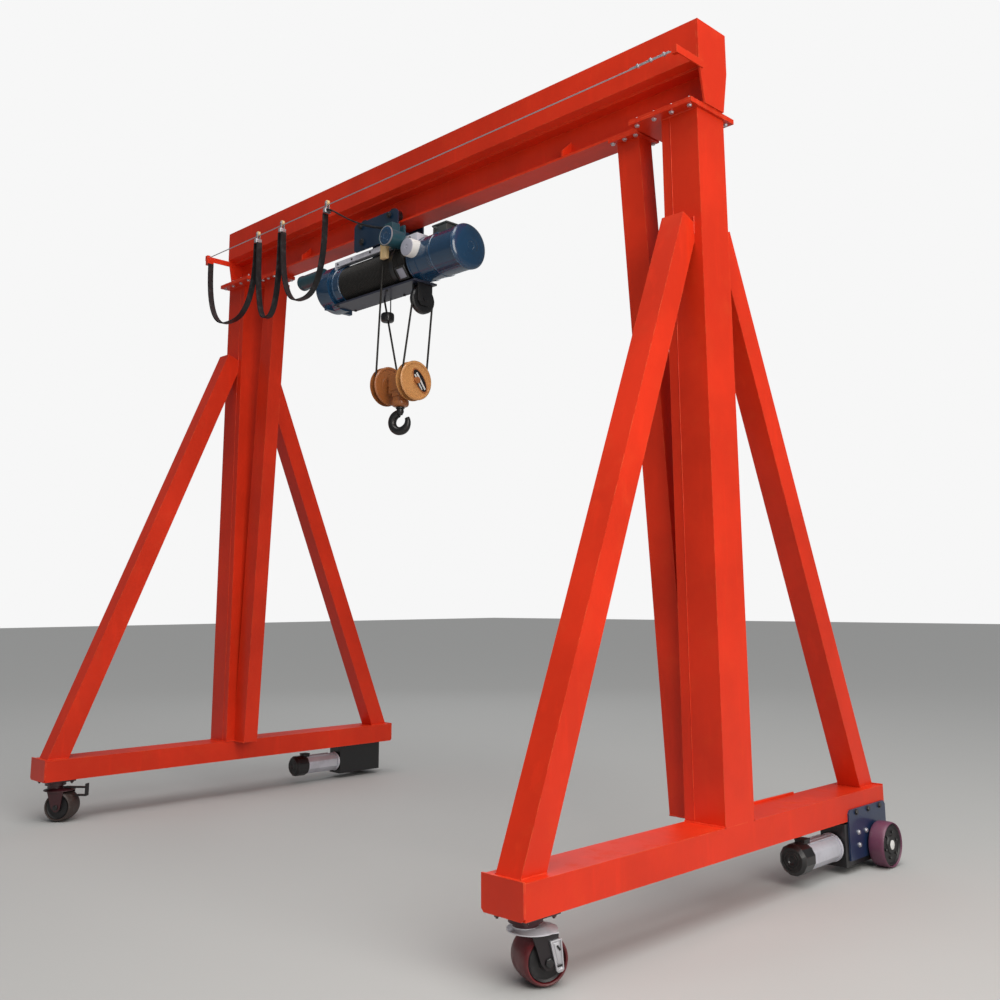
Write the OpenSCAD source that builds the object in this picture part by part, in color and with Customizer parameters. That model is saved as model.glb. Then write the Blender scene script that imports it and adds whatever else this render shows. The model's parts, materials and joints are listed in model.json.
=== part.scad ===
// Single-girder gantry crane on four wheels, with a wire-rope hoist under its girder.
// X runs along the girder, Y along the base beams and Z up, in millimetres.
// The origin lies on the floor under the middle of the crane.

/* [Gantry] */
// Width over the outer faces of the two legs
leg_span = 4870; // [4200:10:6000]
// Height of the girder's top above the floor
total_h = 4710; // [4300:10:5600]
// Length of each base beam with its end plates
beam_len = 3110; // [2600:10:3800]
// Gap between the floor and the base beams
beam_z = 280; // [260:5:320]

/* [Base beams and columns] */
// Width of the base beams and of the columns along X
beam_w = 240; // [200:5:300]
// Depth of the base beams
beam_h = 145; // [120:5:200]
// Wall of the base beams and columns
beam_wall = 8; // [5:1:12]
// Thickness of the plates that close the base beams
beam_end_t = 10; // [6:1:16]
// How far those plates stand above the beams
beam_end_lip = 6; // [2:1:12]
// Width of the columns along Y
col_y = 260; // [220:5:320]

/* [Struts and braces] */
// Width of the inner struts along X
strut_x = 160; // [120:5:200]
// Width of the inner struts along Y
strut_y = 120; // [100:5:160]
// Wall of the inner struts and the braces
strut_wall = 6; // [4:1:10]
// Reach of a strut inward from the column at its top
strut_reach_top = 375; // [300:5:450]
// Reach of a strut inward from the column at its foot
strut_reach_foot = 145; // [120:5:155]
// Side of the square brace tubes
brace_s = 142; // [100:2:180]
// Distance from a beam's end to the brace's foot
brace_inset = 35; // [20:5:80]
// Height of the brace's underside where it meets the column
brace_top_z = 3430; // [2800:10:3700]
// Height of the brace's seat on the column
brace_seat = 105; // [60:5:140]

/* [Girder] */
// Width of the girder's box
box_w = 276; // [240:2:340]
// Height of the box's upright sides
box_side_h = 238; // [180:2:300]
// Height of the sloping plates under the box
box_slope_h = 20; // [10:1:40]
// Wall of the box
box_wall = 6; // [4:1:10]
// Depth of the runway beam
rail_h = 230; // [200:5:280]
// Width of the runway beam's flanges
rail_w = 180; // [160:2:200]
// Thickness of the runway beam's flanges
rail_flange_t = 14; // [10:1:20]
// Thickness of the runway beam's web
rail_web_t = 10; // [8:1:14]
// How far the girder reaches past the legs
girder_over = 30; // [15:5:60]
// Thickness of the girder's end plates
girder_end_t = 12; // [8:1:20]
// Width of the end plates at their lower edge
girder_end_w = 184; // [170:2:220]
// Distance from the crane's middle to the trolley stops
stop_x = 1400; // [1350:10:1450]
// Thickness of the trolley stops
stop_t = 12; // [8:1:20]
// Height of the trolley stops beside the web
stop_h = 120; // [80:5:150]

/* [Joint plates] */
// Thickness of each plate of a bolted joint
joint_t = 14; // [10:1:20]
// Length of the column's joint plates along X
col_joint_x = 430; // [380:10:480]
// Width of the column's joint plates along Y
col_joint_y = 420; // [360:10:460]
// Length of the strut's joint plates along X
strut_joint_x = 220; // [200:5:235]
// Width of the strut's joint plates along Y
strut_joint_y = 210; // [180:10:260]

/* [Casters] */
// Diameter of the caster wheels
caster_d = 205; // [180:5:215]
// Width of the caster wheels
caster_w = 156; // [100:2:156]
// Trail of the casters
caster_trail = 60; // [40:5:75]
// Distance from a beam's end to the caster's pivot
caster_inset = 135; // [115:5:165]
// Turn of the right caster at rest
caster_turn_right = -22; // [-60:1:60]
// Turn of the left caster at rest
caster_turn_left = -51; // [-60:1:60]
// Side of the casters' mounting plates
caster_plate_s = 205; // [195:5:225]
// Thickness of the casters' mounting plates
caster_plate_t = 12; // [8:1:16]
// Diameter of the casters' dust pans
pan_d = 210; // [206:2:236]
// Thickness of the caster forks' legs
fork_t = 10; // [6:1:14]
// Gap beside and above each caster wheel
fork_gap = 6; // [5:0.5:8]
// Radius of the casters' axles and pivots
caster_pin_r = 14; // [10:1:18]

/* [Drive units] */
// Diameter of the drive wheels
drive_d = 250; // [220:5:270]
// Width of the drive wheels
drive_w = 92; // [70:2:110]
// Distance from a beam's end to the drive wheel's axle
drive_inset = 155; // [140:5:220]
// Length of the drive units' side plates
side_plate_y = 450; // [420:5:500]
// Depth of the side plates below the beams' undersides
side_plate_drop = 210; // [180:5:220]
// Overlap of the side plates with the beams
side_plate_lap = 62; // [50:2:90]
// Thickness of the side plates
side_plate_t = 10; // [8:1:16]
// Width of the drive gearboxes along X
gearbox_x = 150; // [120:5:180]
// Radius of the drive wheels' axles
drive_pin_r = 20; // [16:1:26]
// Gap between a side plate and its wheel
drive_gap = 12; // [8:1:20]
// Length of the drive motors' bodies
drive_motor_len = 325; // [260:5:360]
// Length of the drive motors' fan covers
fan_len = 120; // [80:5:160]
// Diameter of the drive motors' fan covers
fan_d = 165; // [150:1:180]
// Side of the drive motors' square bodies
drive_motor_s = 138; // [110:2:150]

/* [Festoon] */
// Reach of the wire arms from the girder's near side
arm_reach = 205; // [180:5:260]
// Height of the arms' flat bars
arm_h = 44; // [24:2:50]
// Thickness of the arms' flat bars
arm_t = 8; // [6:1:12]
// Drop of the wire below the girder's box
wire_drop = 32; // [30:2:60]
// Diameter of the guide wire
wire_d = 8; // [5:1:12]
// Width of the flat cable
cable_w = 50; // [30:2:70]
// Thickness of the flat cable
cable_t = 10; // [6:1:14]
// Distance from the girder's left end to the cable's first clamp
anchor_inset = 45; // [40:1:80]
// Distance from the trolley's middle to the towed hanger
tow_len = 309; // [300:1:360]
// Places of the two middle hangers, as shares of the way to the towed one
hanger_shares = [0.4455, 0.6495];
// Depth of the cable's three loops
loop_depth = [590, 660, 610];

/* [Hoist] */
// Place of the trolley's middle along X
hoist_x = -405; // [-800:5:800]
// Height of the hoist's axis below the runway
hoist_drop = 312; // [300:2:360]
// Distance from the trolley's middle to the drum's outer end
drum_reach = 515; // [500:5:530]
// Radius of the rope drum
drum_r = 150; // [130:2:160]
// Length of the rope drum
drum_len = 910; // [700:10:1000]
// Wall of the rope drum with its layer of rope
drum_wall = 32; // [20:2:60]
// Wall of the housing between drum and motor
housing_wall = 14; // [8:1:24]
// Radius of the gearbox housing
gear_r = 182; // [160:2:200]
// Length of the gearbox housing
gear_len = 180; // [120:5:240]
// Length of the creep motor outside the gearbox
creep_len = 260; // [200:5:270]
// Radius of the housing between drum and motor
flange_r = 158; // [140:2:170]
// Length of that housing
flange_len = 225; // [220:5:300]
// Radius of the hoist motor
motor_r = 162; // [150:1:185]
// Length of the hoist motor without its domed end
motor_len = 245; // [160:5:340]
// Length of the motor's domed end
dome_len = 30; // [20:5:90]
// Distance from the motor back to the pale cap
cap_back = 150; // [145:5:155]
// Reach of the pale cap from the hoist's axis
cap_reach = 220; // [200:5:235]

/* [Trolley] */
// Length of the trolley's side plates
trolley_len = 512; // [480:4:580]
// Radius of the trolley wheels' treads
trolley_wheel_r = 52; // [40:1:60]
// Distance between the trolley's axles
trolley_axles = 340; // [280:5:400]
// Thickness of the trolley's side plates
trolley_plate_t = 12; // [8:1:20]
// Gap between the runway and the side plates
trolley_gap = 24; // [20:1:40]
// Radius of the trolley's tie bars
tie_r = 16; // [12:1:22]

/* [Ropes and hook block] */
// Diameter of the wire ropes
rope_d = 15; // [10:1:18]
// Radius of the block sheaves' grooves
sheave_r = 105; // [95:1:120]
// Radius of the block's sheave covers
cover_r = 142; // [130:1:150]
// Width of the sheaves' grooves
groove_w = 48; // [46:1:50]
// Thickness of each sheave with its covers
sheave_w = 66; // [60:1:90]
// Distance from the drum's outer end to the block's middle
block_reach = 675; // [660:5:690]
// Distance between the block's two sheaves
sheave_gap_x = 290; // [260:5:310]
// Width of the block's crosshead
cross_w = 140; // [100:5:150]
// Height of the block's crosshead
cross_h = 150; // [110:5:170]
// Height of the block's axis below the hoist's axis
block_drop = 858; // [800:5:1400]
// Radius of the hook's bowl
hook_r = 64; // [45:1:68]
// Radius of the hook's section
hook_t = 30; // [18:1:32]
// Turn of the hook at rest
hook_turn = 20; // [-90:5:90]

/* [Hidden] */

// Gap between faces of two bodies that meet
seat = 0.3;
// Gap around a turning pin
pin_gap = 0.1;

paint = [0.85, 0.22, 0.12];
navy = [0.12, 0.17, 0.30];
hoist_blue = [0.08, 0.20, 0.38];
black = [0.07, 0.07, 0.08];
maroon = [0.33, 0.10, 0.14];
silver = [0.72, 0.72, 0.74];
gold = [0.72, 0.46, 0.20];
cream = [0.82, 0.72, 0.50];

// Faces of the legs and the base beams
x_out = leg_span / 2;
x_in = x_out - beam_w;
x_mid = x_out - beam_w / 2;
beam_top = beam_z + beam_h;
y_end = beam_len / 2;

// Levels of the girder
box_bottom = total_h - box_side_h;
rail_top = box_bottom - box_slope_h;
rail_bottom = rail_top - rail_h;
leg_top = rail_bottom - 2 * joint_t;
x_girder = x_out + girder_over;

// Slope of the struts' inner faces
strut_top_x = x_in - strut_reach_top;
strut_foot_x = x_in - strut_reach_foot;

// Lean of the braces, from the brace's foot and its seat on the column
brace_run = y_end - brace_inset - col_y / 2;
brace_rise = brace_top_z - beam_top;
brace_lean = acos(brace_s / norm([brace_run, brace_rise])) - atan2(brace_rise, brace_run);

// Places of the wheels
caster_y = -(y_end - caster_inset);
caster_axle_z = caster_d / 2;
pan_dip = 10;
bow_t = 8;
bow_z = caster_d + fork_gap + pan_dip / 2;
drive_y = y_end - drive_inset;
drive_axle_z = drive_d / 2;
side_plate_y1 = y_end - beam_end_t;
side_plate_y0 = side_plate_y1 - side_plate_y;
side_plate_x1 = x_out + side_plate_t;
drive_motor_x = x_out - gearbox_x / 2 - 8;
drive_motor_z = 140;
drive_motor_y = side_plate_y0 - 40;
fan_y = drive_motor_y - drive_motor_len;

// Level and reach of the festoon's wire
wire_z = box_bottom - wire_drop;
wire_y = -(box_w / 2 + arm_reach);
anchor_x = -x_girder + anchor_inset;
towed_x = hoist_x - tow_len;
hanger_x = concat(anchor_x, [for (s = hanger_shares) anchor_x + s * (towed_x - anchor_x)], towed_x);
hanger_foot = wire_z - 62;
clamp_half = 15;
clamp_y = cable_w / 2 + 4;
clamp_h = 34;

// Levels of the hoist
hoist_z = rail_bottom - hoist_drop;
drum_x0 = hoist_x - drum_reach;
drum_x1 = drum_x0 + drum_len;
motor_x0 = drum_x1 + flange_len;
motor_x1 = motor_x0 + motor_len;
plate_t = 14;
plate_z = hoist_z - flange_r + 3 - plate_t;
plate_y0 = -115;
plate_y1 = 95;
bar_t = 12;
bar_h = 40;
bar_y0 = -110;
bar_y1 = -10;
bar_z = hoist_z + drum_r - 10;

// Trolley levels
trolley_axle_z = rail_bottom + rail_flange_t + trolley_wheel_r + seat;
trolley_plate_y0 = rail_w / 2 + trolley_gap;
trolley_plate_y1 = trolley_plate_y0 + trolley_plate_t;
tie_z = rail_bottom - 60;
tie_x = 150;
trolley_plate_z0 = tie_z - 60;
trolley_plate_z1 = trolley_axle_z + 34;
travel_x = hoist_x + trolley_len / 2 + 49;
travel_z = trolley_plate_z0 - 44;
travel_r = 64;
lead_box = [travel_x - 44, -trolley_plate_y1 - 84, travel_z + travel_r + 8];

// Ropes and hook block
rope_r = rope_d / 2;
block_x = drum_x0 + block_reach;
block_z = hoist_z - block_drop;
left_x = block_x - sheave_gap_x / 2;
right_x = block_x + sheave_gap_x / 2;
rope_path_r = sheave_r + rope_r + seat;
top_sheave_r = 84;
top_cover_r = 104;
top_sheave_w = 42;
top_groove_w = 28;
top_sheave_x = right_x + 85;
top_sheave_z = plate_z - top_cover_r - 8;
top_path_r = top_sheave_r + rope_r + seat;
block_axle_r = 24;
nut_r = 62;
nut_h = 92;
shank_r = 20;
hook_neck = 17.5;
hook_z = block_z - cross_h / 2 - nut_h - hook_neck - hook_t - hook_r;

// Upper and lower ends of the four falls of rope: from the drum, from the anchor on the plate,
// and from both sides of the upper sheave
block_centre = [0, block_z];
falls_high = [
  [left_x + 118, -(drum_r + rope_r + seat), hoist_z], [left_x - 110, 45, plate_z - 1.8],
  [top_sheave_x + 6, -top_path_r, top_sheave_z], [top_sheave_x + 6, top_path_r, top_sheave_z]
];
falls_low = [for (i = [0:3]) let (
    high = falls_high[i],
    low = touch([high[1], high[2]], block_centre, rope_path_r, i % 2 == 0 ? -1 : 1)
  ) [i < 2 ? left_x : right_x, low[0], low[1]]];

// Centre of the weight on the anchored fall
weight_z = plate_z - 142;
weight_share = (falls_high[1][2] - weight_z) / (falls_high[1][2] - falls_low[1][2]);
weight_at = falls_high[1] + weight_share * (falls_low[1] - falls_high[1]);

module box_x(x0, x1, y0, y1, z0, z1) {
  translate([x0, y0, z0]) cube([x1 - x0, y1 - y0, z1 - z0]);
}

module cyl_x(x0, x1, y, z, r) {
  translate([x0, y, z]) rotate([0, 90, 0]) cylinder(h = x1 - x0, r = r, $fn = 64);
}

module cyl_y(x, y0, y1, z, r) {
  translate([x, y0, z]) rotate([-90, 0, 0]) cylinder(h = y1 - y0, r = r, $fn = 64);
}

module cyl_z(x, y, z0, z1, r) {
  translate([x, y, z0]) cylinder(h = z1 - z0, r = r, $fn = 64);
}

// A flat outline in X and Z, thickened from y0 to y1
module slab_xz(points, y0, y1) {
  translate([0, y1, 0]) rotate([90, 0, 0]) linear_extrude(y1 - y0) polygon(points);
}

// A flat outline in Y and Z, thickened from x0 to x1
module slab_yz(points, x0, x1) {
  translate([x0, 0, 0]) rotate([90, 0, 90]) linear_extrude(x1 - x0) polygon(points);
}

module left_side() {
  mirror([1, 0, 0]) children();
}

module both_sides() {
  children();
  left_side() children();
}

// Outline of the girder's closed box, drawn in by a wall
function box_outline(w) = [
  [-box_w / 2 + w, box_bottom + w / 2], [-box_w / 2 + w, total_h - w],
  [box_w / 2 - w, total_h - w], [box_w / 2 - w, box_bottom + w / 2],
  [rail_w / 2 - w, rail_top + w], [-rail_w / 2 + w, rail_top + w]
];

module girder_box() {
  color(paint) difference() {
    slab_yz(box_outline(0), -x_girder + girder_end_t, x_girder - girder_end_t);
    slab_yz(box_outline(box_wall), -x_girder, x_girder);
  }
}

module girder_rail() {
  f = rail_w / 2;
  w = rail_web_t / 2;
  half = [
    [f, rail_bottom], [f, rail_bottom + rail_flange_t], [w, rail_bottom + rail_flange_t],
    [w, rail_top - rail_flange_t], [f, rail_top - rail_flange_t], [f, rail_top]
  ];
  other = [for (i = [5:-1:0]) [-half[i][0], half[i][1]]];
  color(paint) slab_yz(concat(half, other), -x_girder + girder_end_t, x_girder - girder_end_t);
}

module girder_end_plates() {
  outline = [
    [-box_w / 2, total_h], [box_w / 2, total_h], [box_w / 2, box_bottom],
    [girder_end_w / 2, rail_bottom], [-girder_end_w / 2, rail_bottom], [-box_w / 2, box_bottom]
  ];
  color(paint) both_sides() slab_yz(outline, x_girder - girder_end_t, x_girder);
}

// Gussets on both sides of the web that stop the trolley
module trolley_stops() {
  z0 = rail_bottom + rail_flange_t;
  color(paint) both_sides() for (s = [-1, 1])
    scale([1, s, 1]) slab_yz(
      [[rail_web_t / 2, z0], [rail_w / 2 - 2, z0], [rail_w / 2 - 2, z0 + stop_h / 3],
       [rail_web_t / 2, z0 + stop_h]], stop_x, stop_x + stop_t);
}

module joint_plates(z0, z1) {
  col_x1 = x_out + girder_over - girder_end_t;
  col_x0 = col_x1 - col_joint_x;
  strut_x1 = strut_top_x + strut_x + 26;
  both_sides() {
    box_x(col_x0, col_x1, -col_joint_y / 2, col_joint_y / 2, z0, z1);
    box_x(strut_x1 - strut_joint_x, min(strut_x1, col_x0 - 4),
          -strut_joint_y / 2, strut_joint_y / 2, z0, z1);
  }
}

module girder_joint_plates() {
  color(paint) joint_plates(leg_top + joint_t, rail_bottom);
}

module leg_joint_plates() {
  color(paint) joint_plates(leg_top, leg_top + joint_t);
}

module column() {
  c = col_y / 2;
  w = beam_wall;
  difference() {
    box_x(x_in, x_out, -c, c, beam_top, leg_top);
    box_x(x_in + w, x_out - w, -c + w, c - w, beam_top - 1, leg_top + 1);
  }
}

module column_right() {
  color(paint) column();
}

module column_left() {
  color(paint) left_side() column();
}

// Outline of a strut, with its faces drawn in by a wall
function strut_outline(w, rise) = [
  [strut_foot_x + w, beam_top + w], [strut_top_x + w, leg_top + rise],
  [strut_top_x + strut_x - w, leg_top + rise], [strut_foot_x + strut_x - w, beam_top + w]
];

module strut_shape(w, rise) {
  y = strut_y / 2 - w;
  difference() {
    slab_xz(strut_outline(w, rise), -y, y);
    box_x(x_in - w, x_out, -strut_y, strut_y, beam_z, leg_top + 10);
  }
}

module strut() {
  difference() {
    strut_shape(0, 0);
    strut_shape(strut_wall, 1);
  }
}

module strut_right() {
  color(paint) strut();
}

module strut_left() {
  color(paint) left_side() strut();
}

// Outline of the far brace in Y and Z, with its long faces drawn in by w and its open ends let out by e
function brace_outline(w, e) =
  let (
    c = cos(brace_lean),
    s = sin(brace_lean),
    foot = y_end - brace_inset - w / c,
    side = brace_s - 2 * w,
    wall_y = col_y / 2 - e,
    under_y = foot - side / c,
    seat_z = brace_top_z + w / s + e * c / s,
    cap_z = brace_top_z + brace_seat - w,
    reach = side - (cap_z - seat_z + e * c / s) * s
  )
  [
    [foot + e * s / c, beam_top - e], [under_y + e * s / c, beam_top - e],
    [wall_y, seat_z], [wall_y, cap_z], [col_y / 2 + reach * c, cap_z + reach * s]
  ];

module brace_far() {
  half = brace_s / 2;
  difference() {
    slab_yz(brace_outline(0, 0), x_mid - half, x_mid + half);
    slab_yz(brace_outline(strut_wall, 1), x_mid - half + strut_wall, x_mid + half - strut_wall);
  }
}

module brace_right_far() {
  color(paint) brace_far();
}

module brace_right_near() {
  color(paint) mirror([0, 1, 0]) brace_far();
}

module brace_left_far() {
  color(paint) left_side() brace_far();
}

module brace_left_near() {
  color(paint) left_side() mirror([0, 1, 0]) brace_far();
}

module base_beam() {
  y = y_end - beam_end_t;
  w = beam_wall;
  difference() {
    box_x(x_in, x_out, -y, y, beam_z, beam_top);
    box_x(x_in + w, x_out - w, -y - 1, y + 1, beam_z + w, beam_top - w);
  }
}

module base_beam_right() {
  color(paint) base_beam();
}

module base_beam_left() {
  color(paint) left_side() base_beam();
}

// Plates with cut lower corners that close the base beams
module beam_end_plates() {
  cut = 14;
  outline = [
    [x_in, beam_top + beam_end_lip], [x_in, beam_z + cut], [x_in + cut, beam_z],
    [x_out - cut, beam_z], [x_out, beam_z + cut], [x_out, beam_top + beam_end_lip]
  ];
  color(paint) both_sides() for (s = [-1, 1])
    scale([1, s, 1]) slab_xz(outline, y_end - beam_end_t, y_end);
}

module at_caster() {
  translate([x_mid, caster_y, 0]) rotate([0, 0, caster_turn_right]) children();
}

module at_left_caster() {
  translate([-x_mid, caster_y, 0]) rotate([0, 0, caster_turn_left]) children();
}

module caster_plates() {
  s = caster_plate_s / 2;
  color(maroon) both_sides() difference() {
    box_x(x_mid - s, x_mid + s, caster_y - s, caster_y + s, beam_z - caster_plate_t, beam_z);
    cyl_z(x_mid, caster_y, beam_z - caster_plate_t - 1, beam_z + 1, caster_pin_r + pin_gap);
  }
}

// Swivel head, dished dust pan and two legs, drawn with the pivot at the origin and the wheel behind it
module caster_fork() {
  inner = caster_w / 2 + fork_gap;
  outer = inner + fork_t;
  head_top = beam_z - caster_plate_t - seat;
  flat_r = 60;
  rim_z = bow_z - pan_dip;
  cyl_z(0, 0, bow_z + 1, head_top, 54);
  cyl_z(0, 0, head_top - 26, head_top, 72);
  cyl_z(0, 0, head_top - 1, beam_z - 1, caster_pin_r);
  translate([0, caster_trail / 2, 0]) rotate_extrude($fn = 96) polygon([
    [0, bow_z], [flat_r, bow_z], [pan_d / 2, rim_z], [pan_d / 2, rim_z + 5],
    [flat_r, bow_z + bow_t], [0, bow_z + bow_t]]);
  for (s = [-1, 1]) scale([s, 1, 1]) difference() {
    slab_yz(
      [[caster_trail - 74, bow_z + 1], [caster_trail + 46, bow_z + 1],
       [caster_trail + 30, caster_axle_z - 8], [caster_trail + 12, caster_axle_z - 30],
       [caster_trail - 12, caster_axle_z - 30], [caster_trail - 34, caster_axle_z - 4]], inner, outer);
    cut_above_pan(bow_z + bow_t, flat_r, rim_z + 5);
  }
  cyl_x(-outer - 6, outer + 6, caster_trail, caster_axle_z, caster_pin_r);
}

// Space above the dished pan, which trims what stands under it
module cut_above_pan(top_z, flat_r, rim_z) {
  translate([0, caster_trail / 2, 0]) rotate_extrude($fn = 96) polygon([
    [0, top_z - 0.5], [flat_r, top_z - 0.5], [pan_d / 2, rim_z - 0.5], [pan_d, rim_z - 0.5],
    [pan_d, top_z + 60], [0, top_z + 60]]);
}

// Brake lever that hangs beside the right wheel, on the fork's outer leg
module side_lever() {
  x0 = caster_w / 2 + fork_gap + fork_t;
  x1 = x0 + 14;
  y = caster_trail + 34;
  z0 = caster_axle_z - 34;
  z1 = caster_axle_z + 82;
  slab_yz(
    [[y - 32, z1], [y + 20, z1], [y + 30, z0 + 16], [y + 22, z0], [y - 2, z0], [y - 10, z0 + 16]],
    x0, x1);
}

// Brake pedal that stands out behind the left wheel, on the fork's crown
module rear_pedal() {
  z0 = bow_z + bow_t;
  y1 = caster_trail + caster_d / 2 + 78;
  slab_yz(
    [[75, z0], [y1 - 8, z0], [y1 - 8, z0 - 46], [y1 - 80, z0 - 46], [y1 - 80, z0 - 54],
     [y1, z0 - 54], [y1, z0 + 30], [y1 - 8, z0 + 30], [y1 - 8, z0 + 8], [75, z0 + 8]], -22, 22);
}

module caster_wheel() {
  h = caster_w / 2;
  difference() {
    union() {
      cyl_x(-h, h, caster_trail, caster_axle_z, caster_axle_z);
      cyl_x(-h - fork_gap + 1, h + fork_gap - 1, caster_trail, caster_axle_z, 34);
    }
    cyl_x(-h - fork_gap, h + fork_gap, caster_trail, caster_axle_z, caster_pin_r + pin_gap);
  }
}

module caster_fork_right() {
  color(black) at_caster() caster_fork();
}

module caster_fork_left() {
  color(black) at_left_caster() caster_fork();
}

module caster_brake_right() {
  color(silver) at_caster() side_lever();
}

module caster_brake_left() {
  color(black) at_left_caster() rear_pedal();
}

module caster_wheel_right() {
  color(maroon) at_caster() caster_wheel();
}

module caster_wheel_left() {
  color(maroon) at_left_caster() caster_wheel();
}

module drive_side_plates() {
  z0 = beam_z - side_plate_drop;
  z1 = beam_z + side_plate_lap;
  corner = 20;
  color(navy) both_sides() difference() {
    slab_yz(
      [[side_plate_y0, z0], [side_plate_y1, z0], [side_plate_y1, z1 - corner],
       [side_plate_y1 - corner, z1], [side_plate_y0 + corner, z1], [side_plate_y0, z1 - corner]],
      x_out, side_plate_x1);
    cyl_x(x_out - 1, side_plate_x1 + 1, drive_y, drive_axle_z, drive_pin_r + 4);
  }
}

module drive_gearboxes() {
  y0 = drive_motor_y;
  y1 = side_plate_y1 - 60;
  z1 = beam_z - 12;
  color(navy) both_sides() {
    difference() {
      box_x(x_out - gearbox_x, x_out, y0, y1, beam_z - side_plate_drop - 30, z1);
      cyl_x(x_out - gearbox_x / 2, x_out + 1, drive_y, drive_axle_z, drive_pin_r - 1);
    }
    cyl_x(x_out - gearbox_x / 2, side_plate_x1 + drive_gap + drive_w - 14,
          drive_y, drive_axle_z, drive_pin_r);
  }
}

module drive_motors() {
  h = drive_motor_s / 2;
  color(silver) both_sides()
    box_x(drive_motor_x - h, drive_motor_x + h, fan_y, drive_motor_y, drive_motor_z - h, drive_motor_z + h);
}

// Round fan cover behind each drive motor, with the small box at its top
module drive_fan_covers() {
  x = drive_motor_x;
  top = drive_motor_z + drive_motor_s / 2;
  color(black) both_sides() {
    cyl_y(x, fan_y - fan_len, fan_y, drive_motor_z, fan_d / 2);
    box_x(x - 30, x + 30, fan_y - 30, fan_y + 30, top, top + 28);
  }
}

module drive_wheel() {
  x0 = side_plate_x1 + drive_gap;
  difference() {
    cyl_x(x0, x0 + drive_w, drive_y, drive_axle_z, drive_axle_z);
    cyl_x(x0 - 1, x0 + drive_w - 12, drive_y, drive_axle_z, drive_pin_r + pin_gap);
  }
}

module drive_wheel_right() {
  color(maroon) drive_wheel();
}

module drive_wheel_left() {
  color(maroon) left_side() drive_wheel();
}

// Flat bars on the girder's end plates that hold the wire, with the cable's first clamp on the left one
module wire_arms() {
  z0 = wire_z - arm_h / 2;
  lap = 30;
  half = 14;
  color(paint) {
    both_sides() difference() {
      union() {
        box_x(x_girder, x_girder + arm_t, wire_y - half, -box_w / 2 + lap, z0, z0 + arm_h);
        box_x(x_girder - 2 * half, x_girder + 1, wire_y - half, wire_y + half, z0, z0 + arm_h);
      }
      cyl_x(x_girder - 2 * half - 1, x_girder, wire_y, wire_z, wire_d / 2);
    }
    box_x(-x_girder, anchor_x - clamp_half, wire_y - half, wire_y + half, hanger_foot, z0 + 1);
    box_x(anchor_x - clamp_half - 1, anchor_x + clamp_half, wire_y - clamp_y, wire_y + clamp_y,
          hanger_foot, hanger_foot + clamp_h);
  }
}

module guide_wire() {
  color(silver) cyl_x(-x_girder, x_girder, wire_y, wire_z, wire_d / 2);
}

// Point at angle t on a hanging loop between two hangers, drawn in by w
function loop_point(x0, x1, depth, t, w) = [
  (x0 + x1) / 2 - ((x1 - x0) / 2 - w) * sign(cos(t)) * pow(abs(cos(t)), 0.75),
  hanger_foot - (depth - w) * pow(abs(sin(t)), 0.8)
];

module cable_loop(i) {
  x0 = hanger_x[i] + clamp_half + seat;
  x1 = hanger_x[i + 1] - clamp_half - seat;
  steps = [0:7.5:180];
  outer = [for (t = steps) loop_point(x0, x1, loop_depth[i], t, 0)];
  inner = [for (t = steps) loop_point(x0, x1, loop_depth[i], 180 - t, cable_t)];
  slab_xz(concat(outer, inner), wire_y - cable_w / 2, wire_y + cable_w / 2);
}

module cable_loops() {
  color(black) for (i = [0:2]) cable_loop(i);
}

// A wheel on the wire with a frame that clamps the flat cable
module cable_hanger(x) {
  groove_r = 13;
  rim_r = 21;
  z = wire_z + wire_d / 2 + groove_r + seat;
  translate([x, wire_y, z]) rotate([90, 0, 0]) translate([0, 0, -9])
    rotate_extrude($fn = 48) polygon([
      [4, 0], [rim_r, 0], [groove_r, 6], [groove_r, 12], [rim_r, 18], [4, 18]]);
  for (s = [-1, 1])
    box_x(x - 12, x + 12, wire_y + s * 12 - 2, wire_y + s * 12 + 2, hanger_foot, z + 12);
  cyl_y(x, wire_y - 14, wire_y + 14, z, 5);
  box_x(x - clamp_half, x + clamp_half, wire_y - clamp_y, wire_y + clamp_y,
        hanger_foot, hanger_foot + clamp_h);
}

// Cable that hangs from the towed hanger and turns in to the small box on the travel motor
module hoist_lead() {
  stub = 14;
  start = [towed_x + clamp_half + seat, wire_y];
  end = [lead_box[0], lead_box[1]];
  way = end - start - [stub, 0];
  run = norm(way);
  z0 = hanger_foot + clamp_h - 6;
  z1 = lead_box[2] + 22;
  share = [0, 0.1, 0.22, 0.4, 0.6, 0.8, 0.93, 1];
  drop = [0, 0.1, 0.28, 0.52, 0.74, 0.9, 0.98, 1];
  upper = [for (i = [0:7]) [share[i] * run, z0 - drop[i] * (z0 - z1)]];
  lower = [for (i = [7:-1:0]) [upper[i][0] - (i > 0 && i < 7 ? 4 : 0), upper[i][1] - cable_t]];
  half = cable_w / 2;
  color(black) {
    box_x(start[0], start[0] + stub, wire_y - half, wire_y + half, z0 - cable_t, z0);
    translate([start[0] + stub / 2, wire_y, 0]) rotate([0, 0, atan2(way[1], way[0])])
      slab_xz(concat(upper, lower), -half, half);
    box_x(end[0] - stub, end[0], end[1] - half, end[1] + half, z1 - cable_t, z1);
  }
}

module cable_hanger_outer() {
  color(silver) cable_hanger(hanger_x[1]);
}

module cable_hanger_inner() {
  color(silver) cable_hanger(hanger_x[2]);
}

module cable_hanger_towed() {
  color(silver) cable_hanger(hanger_x[3]);
}

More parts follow.
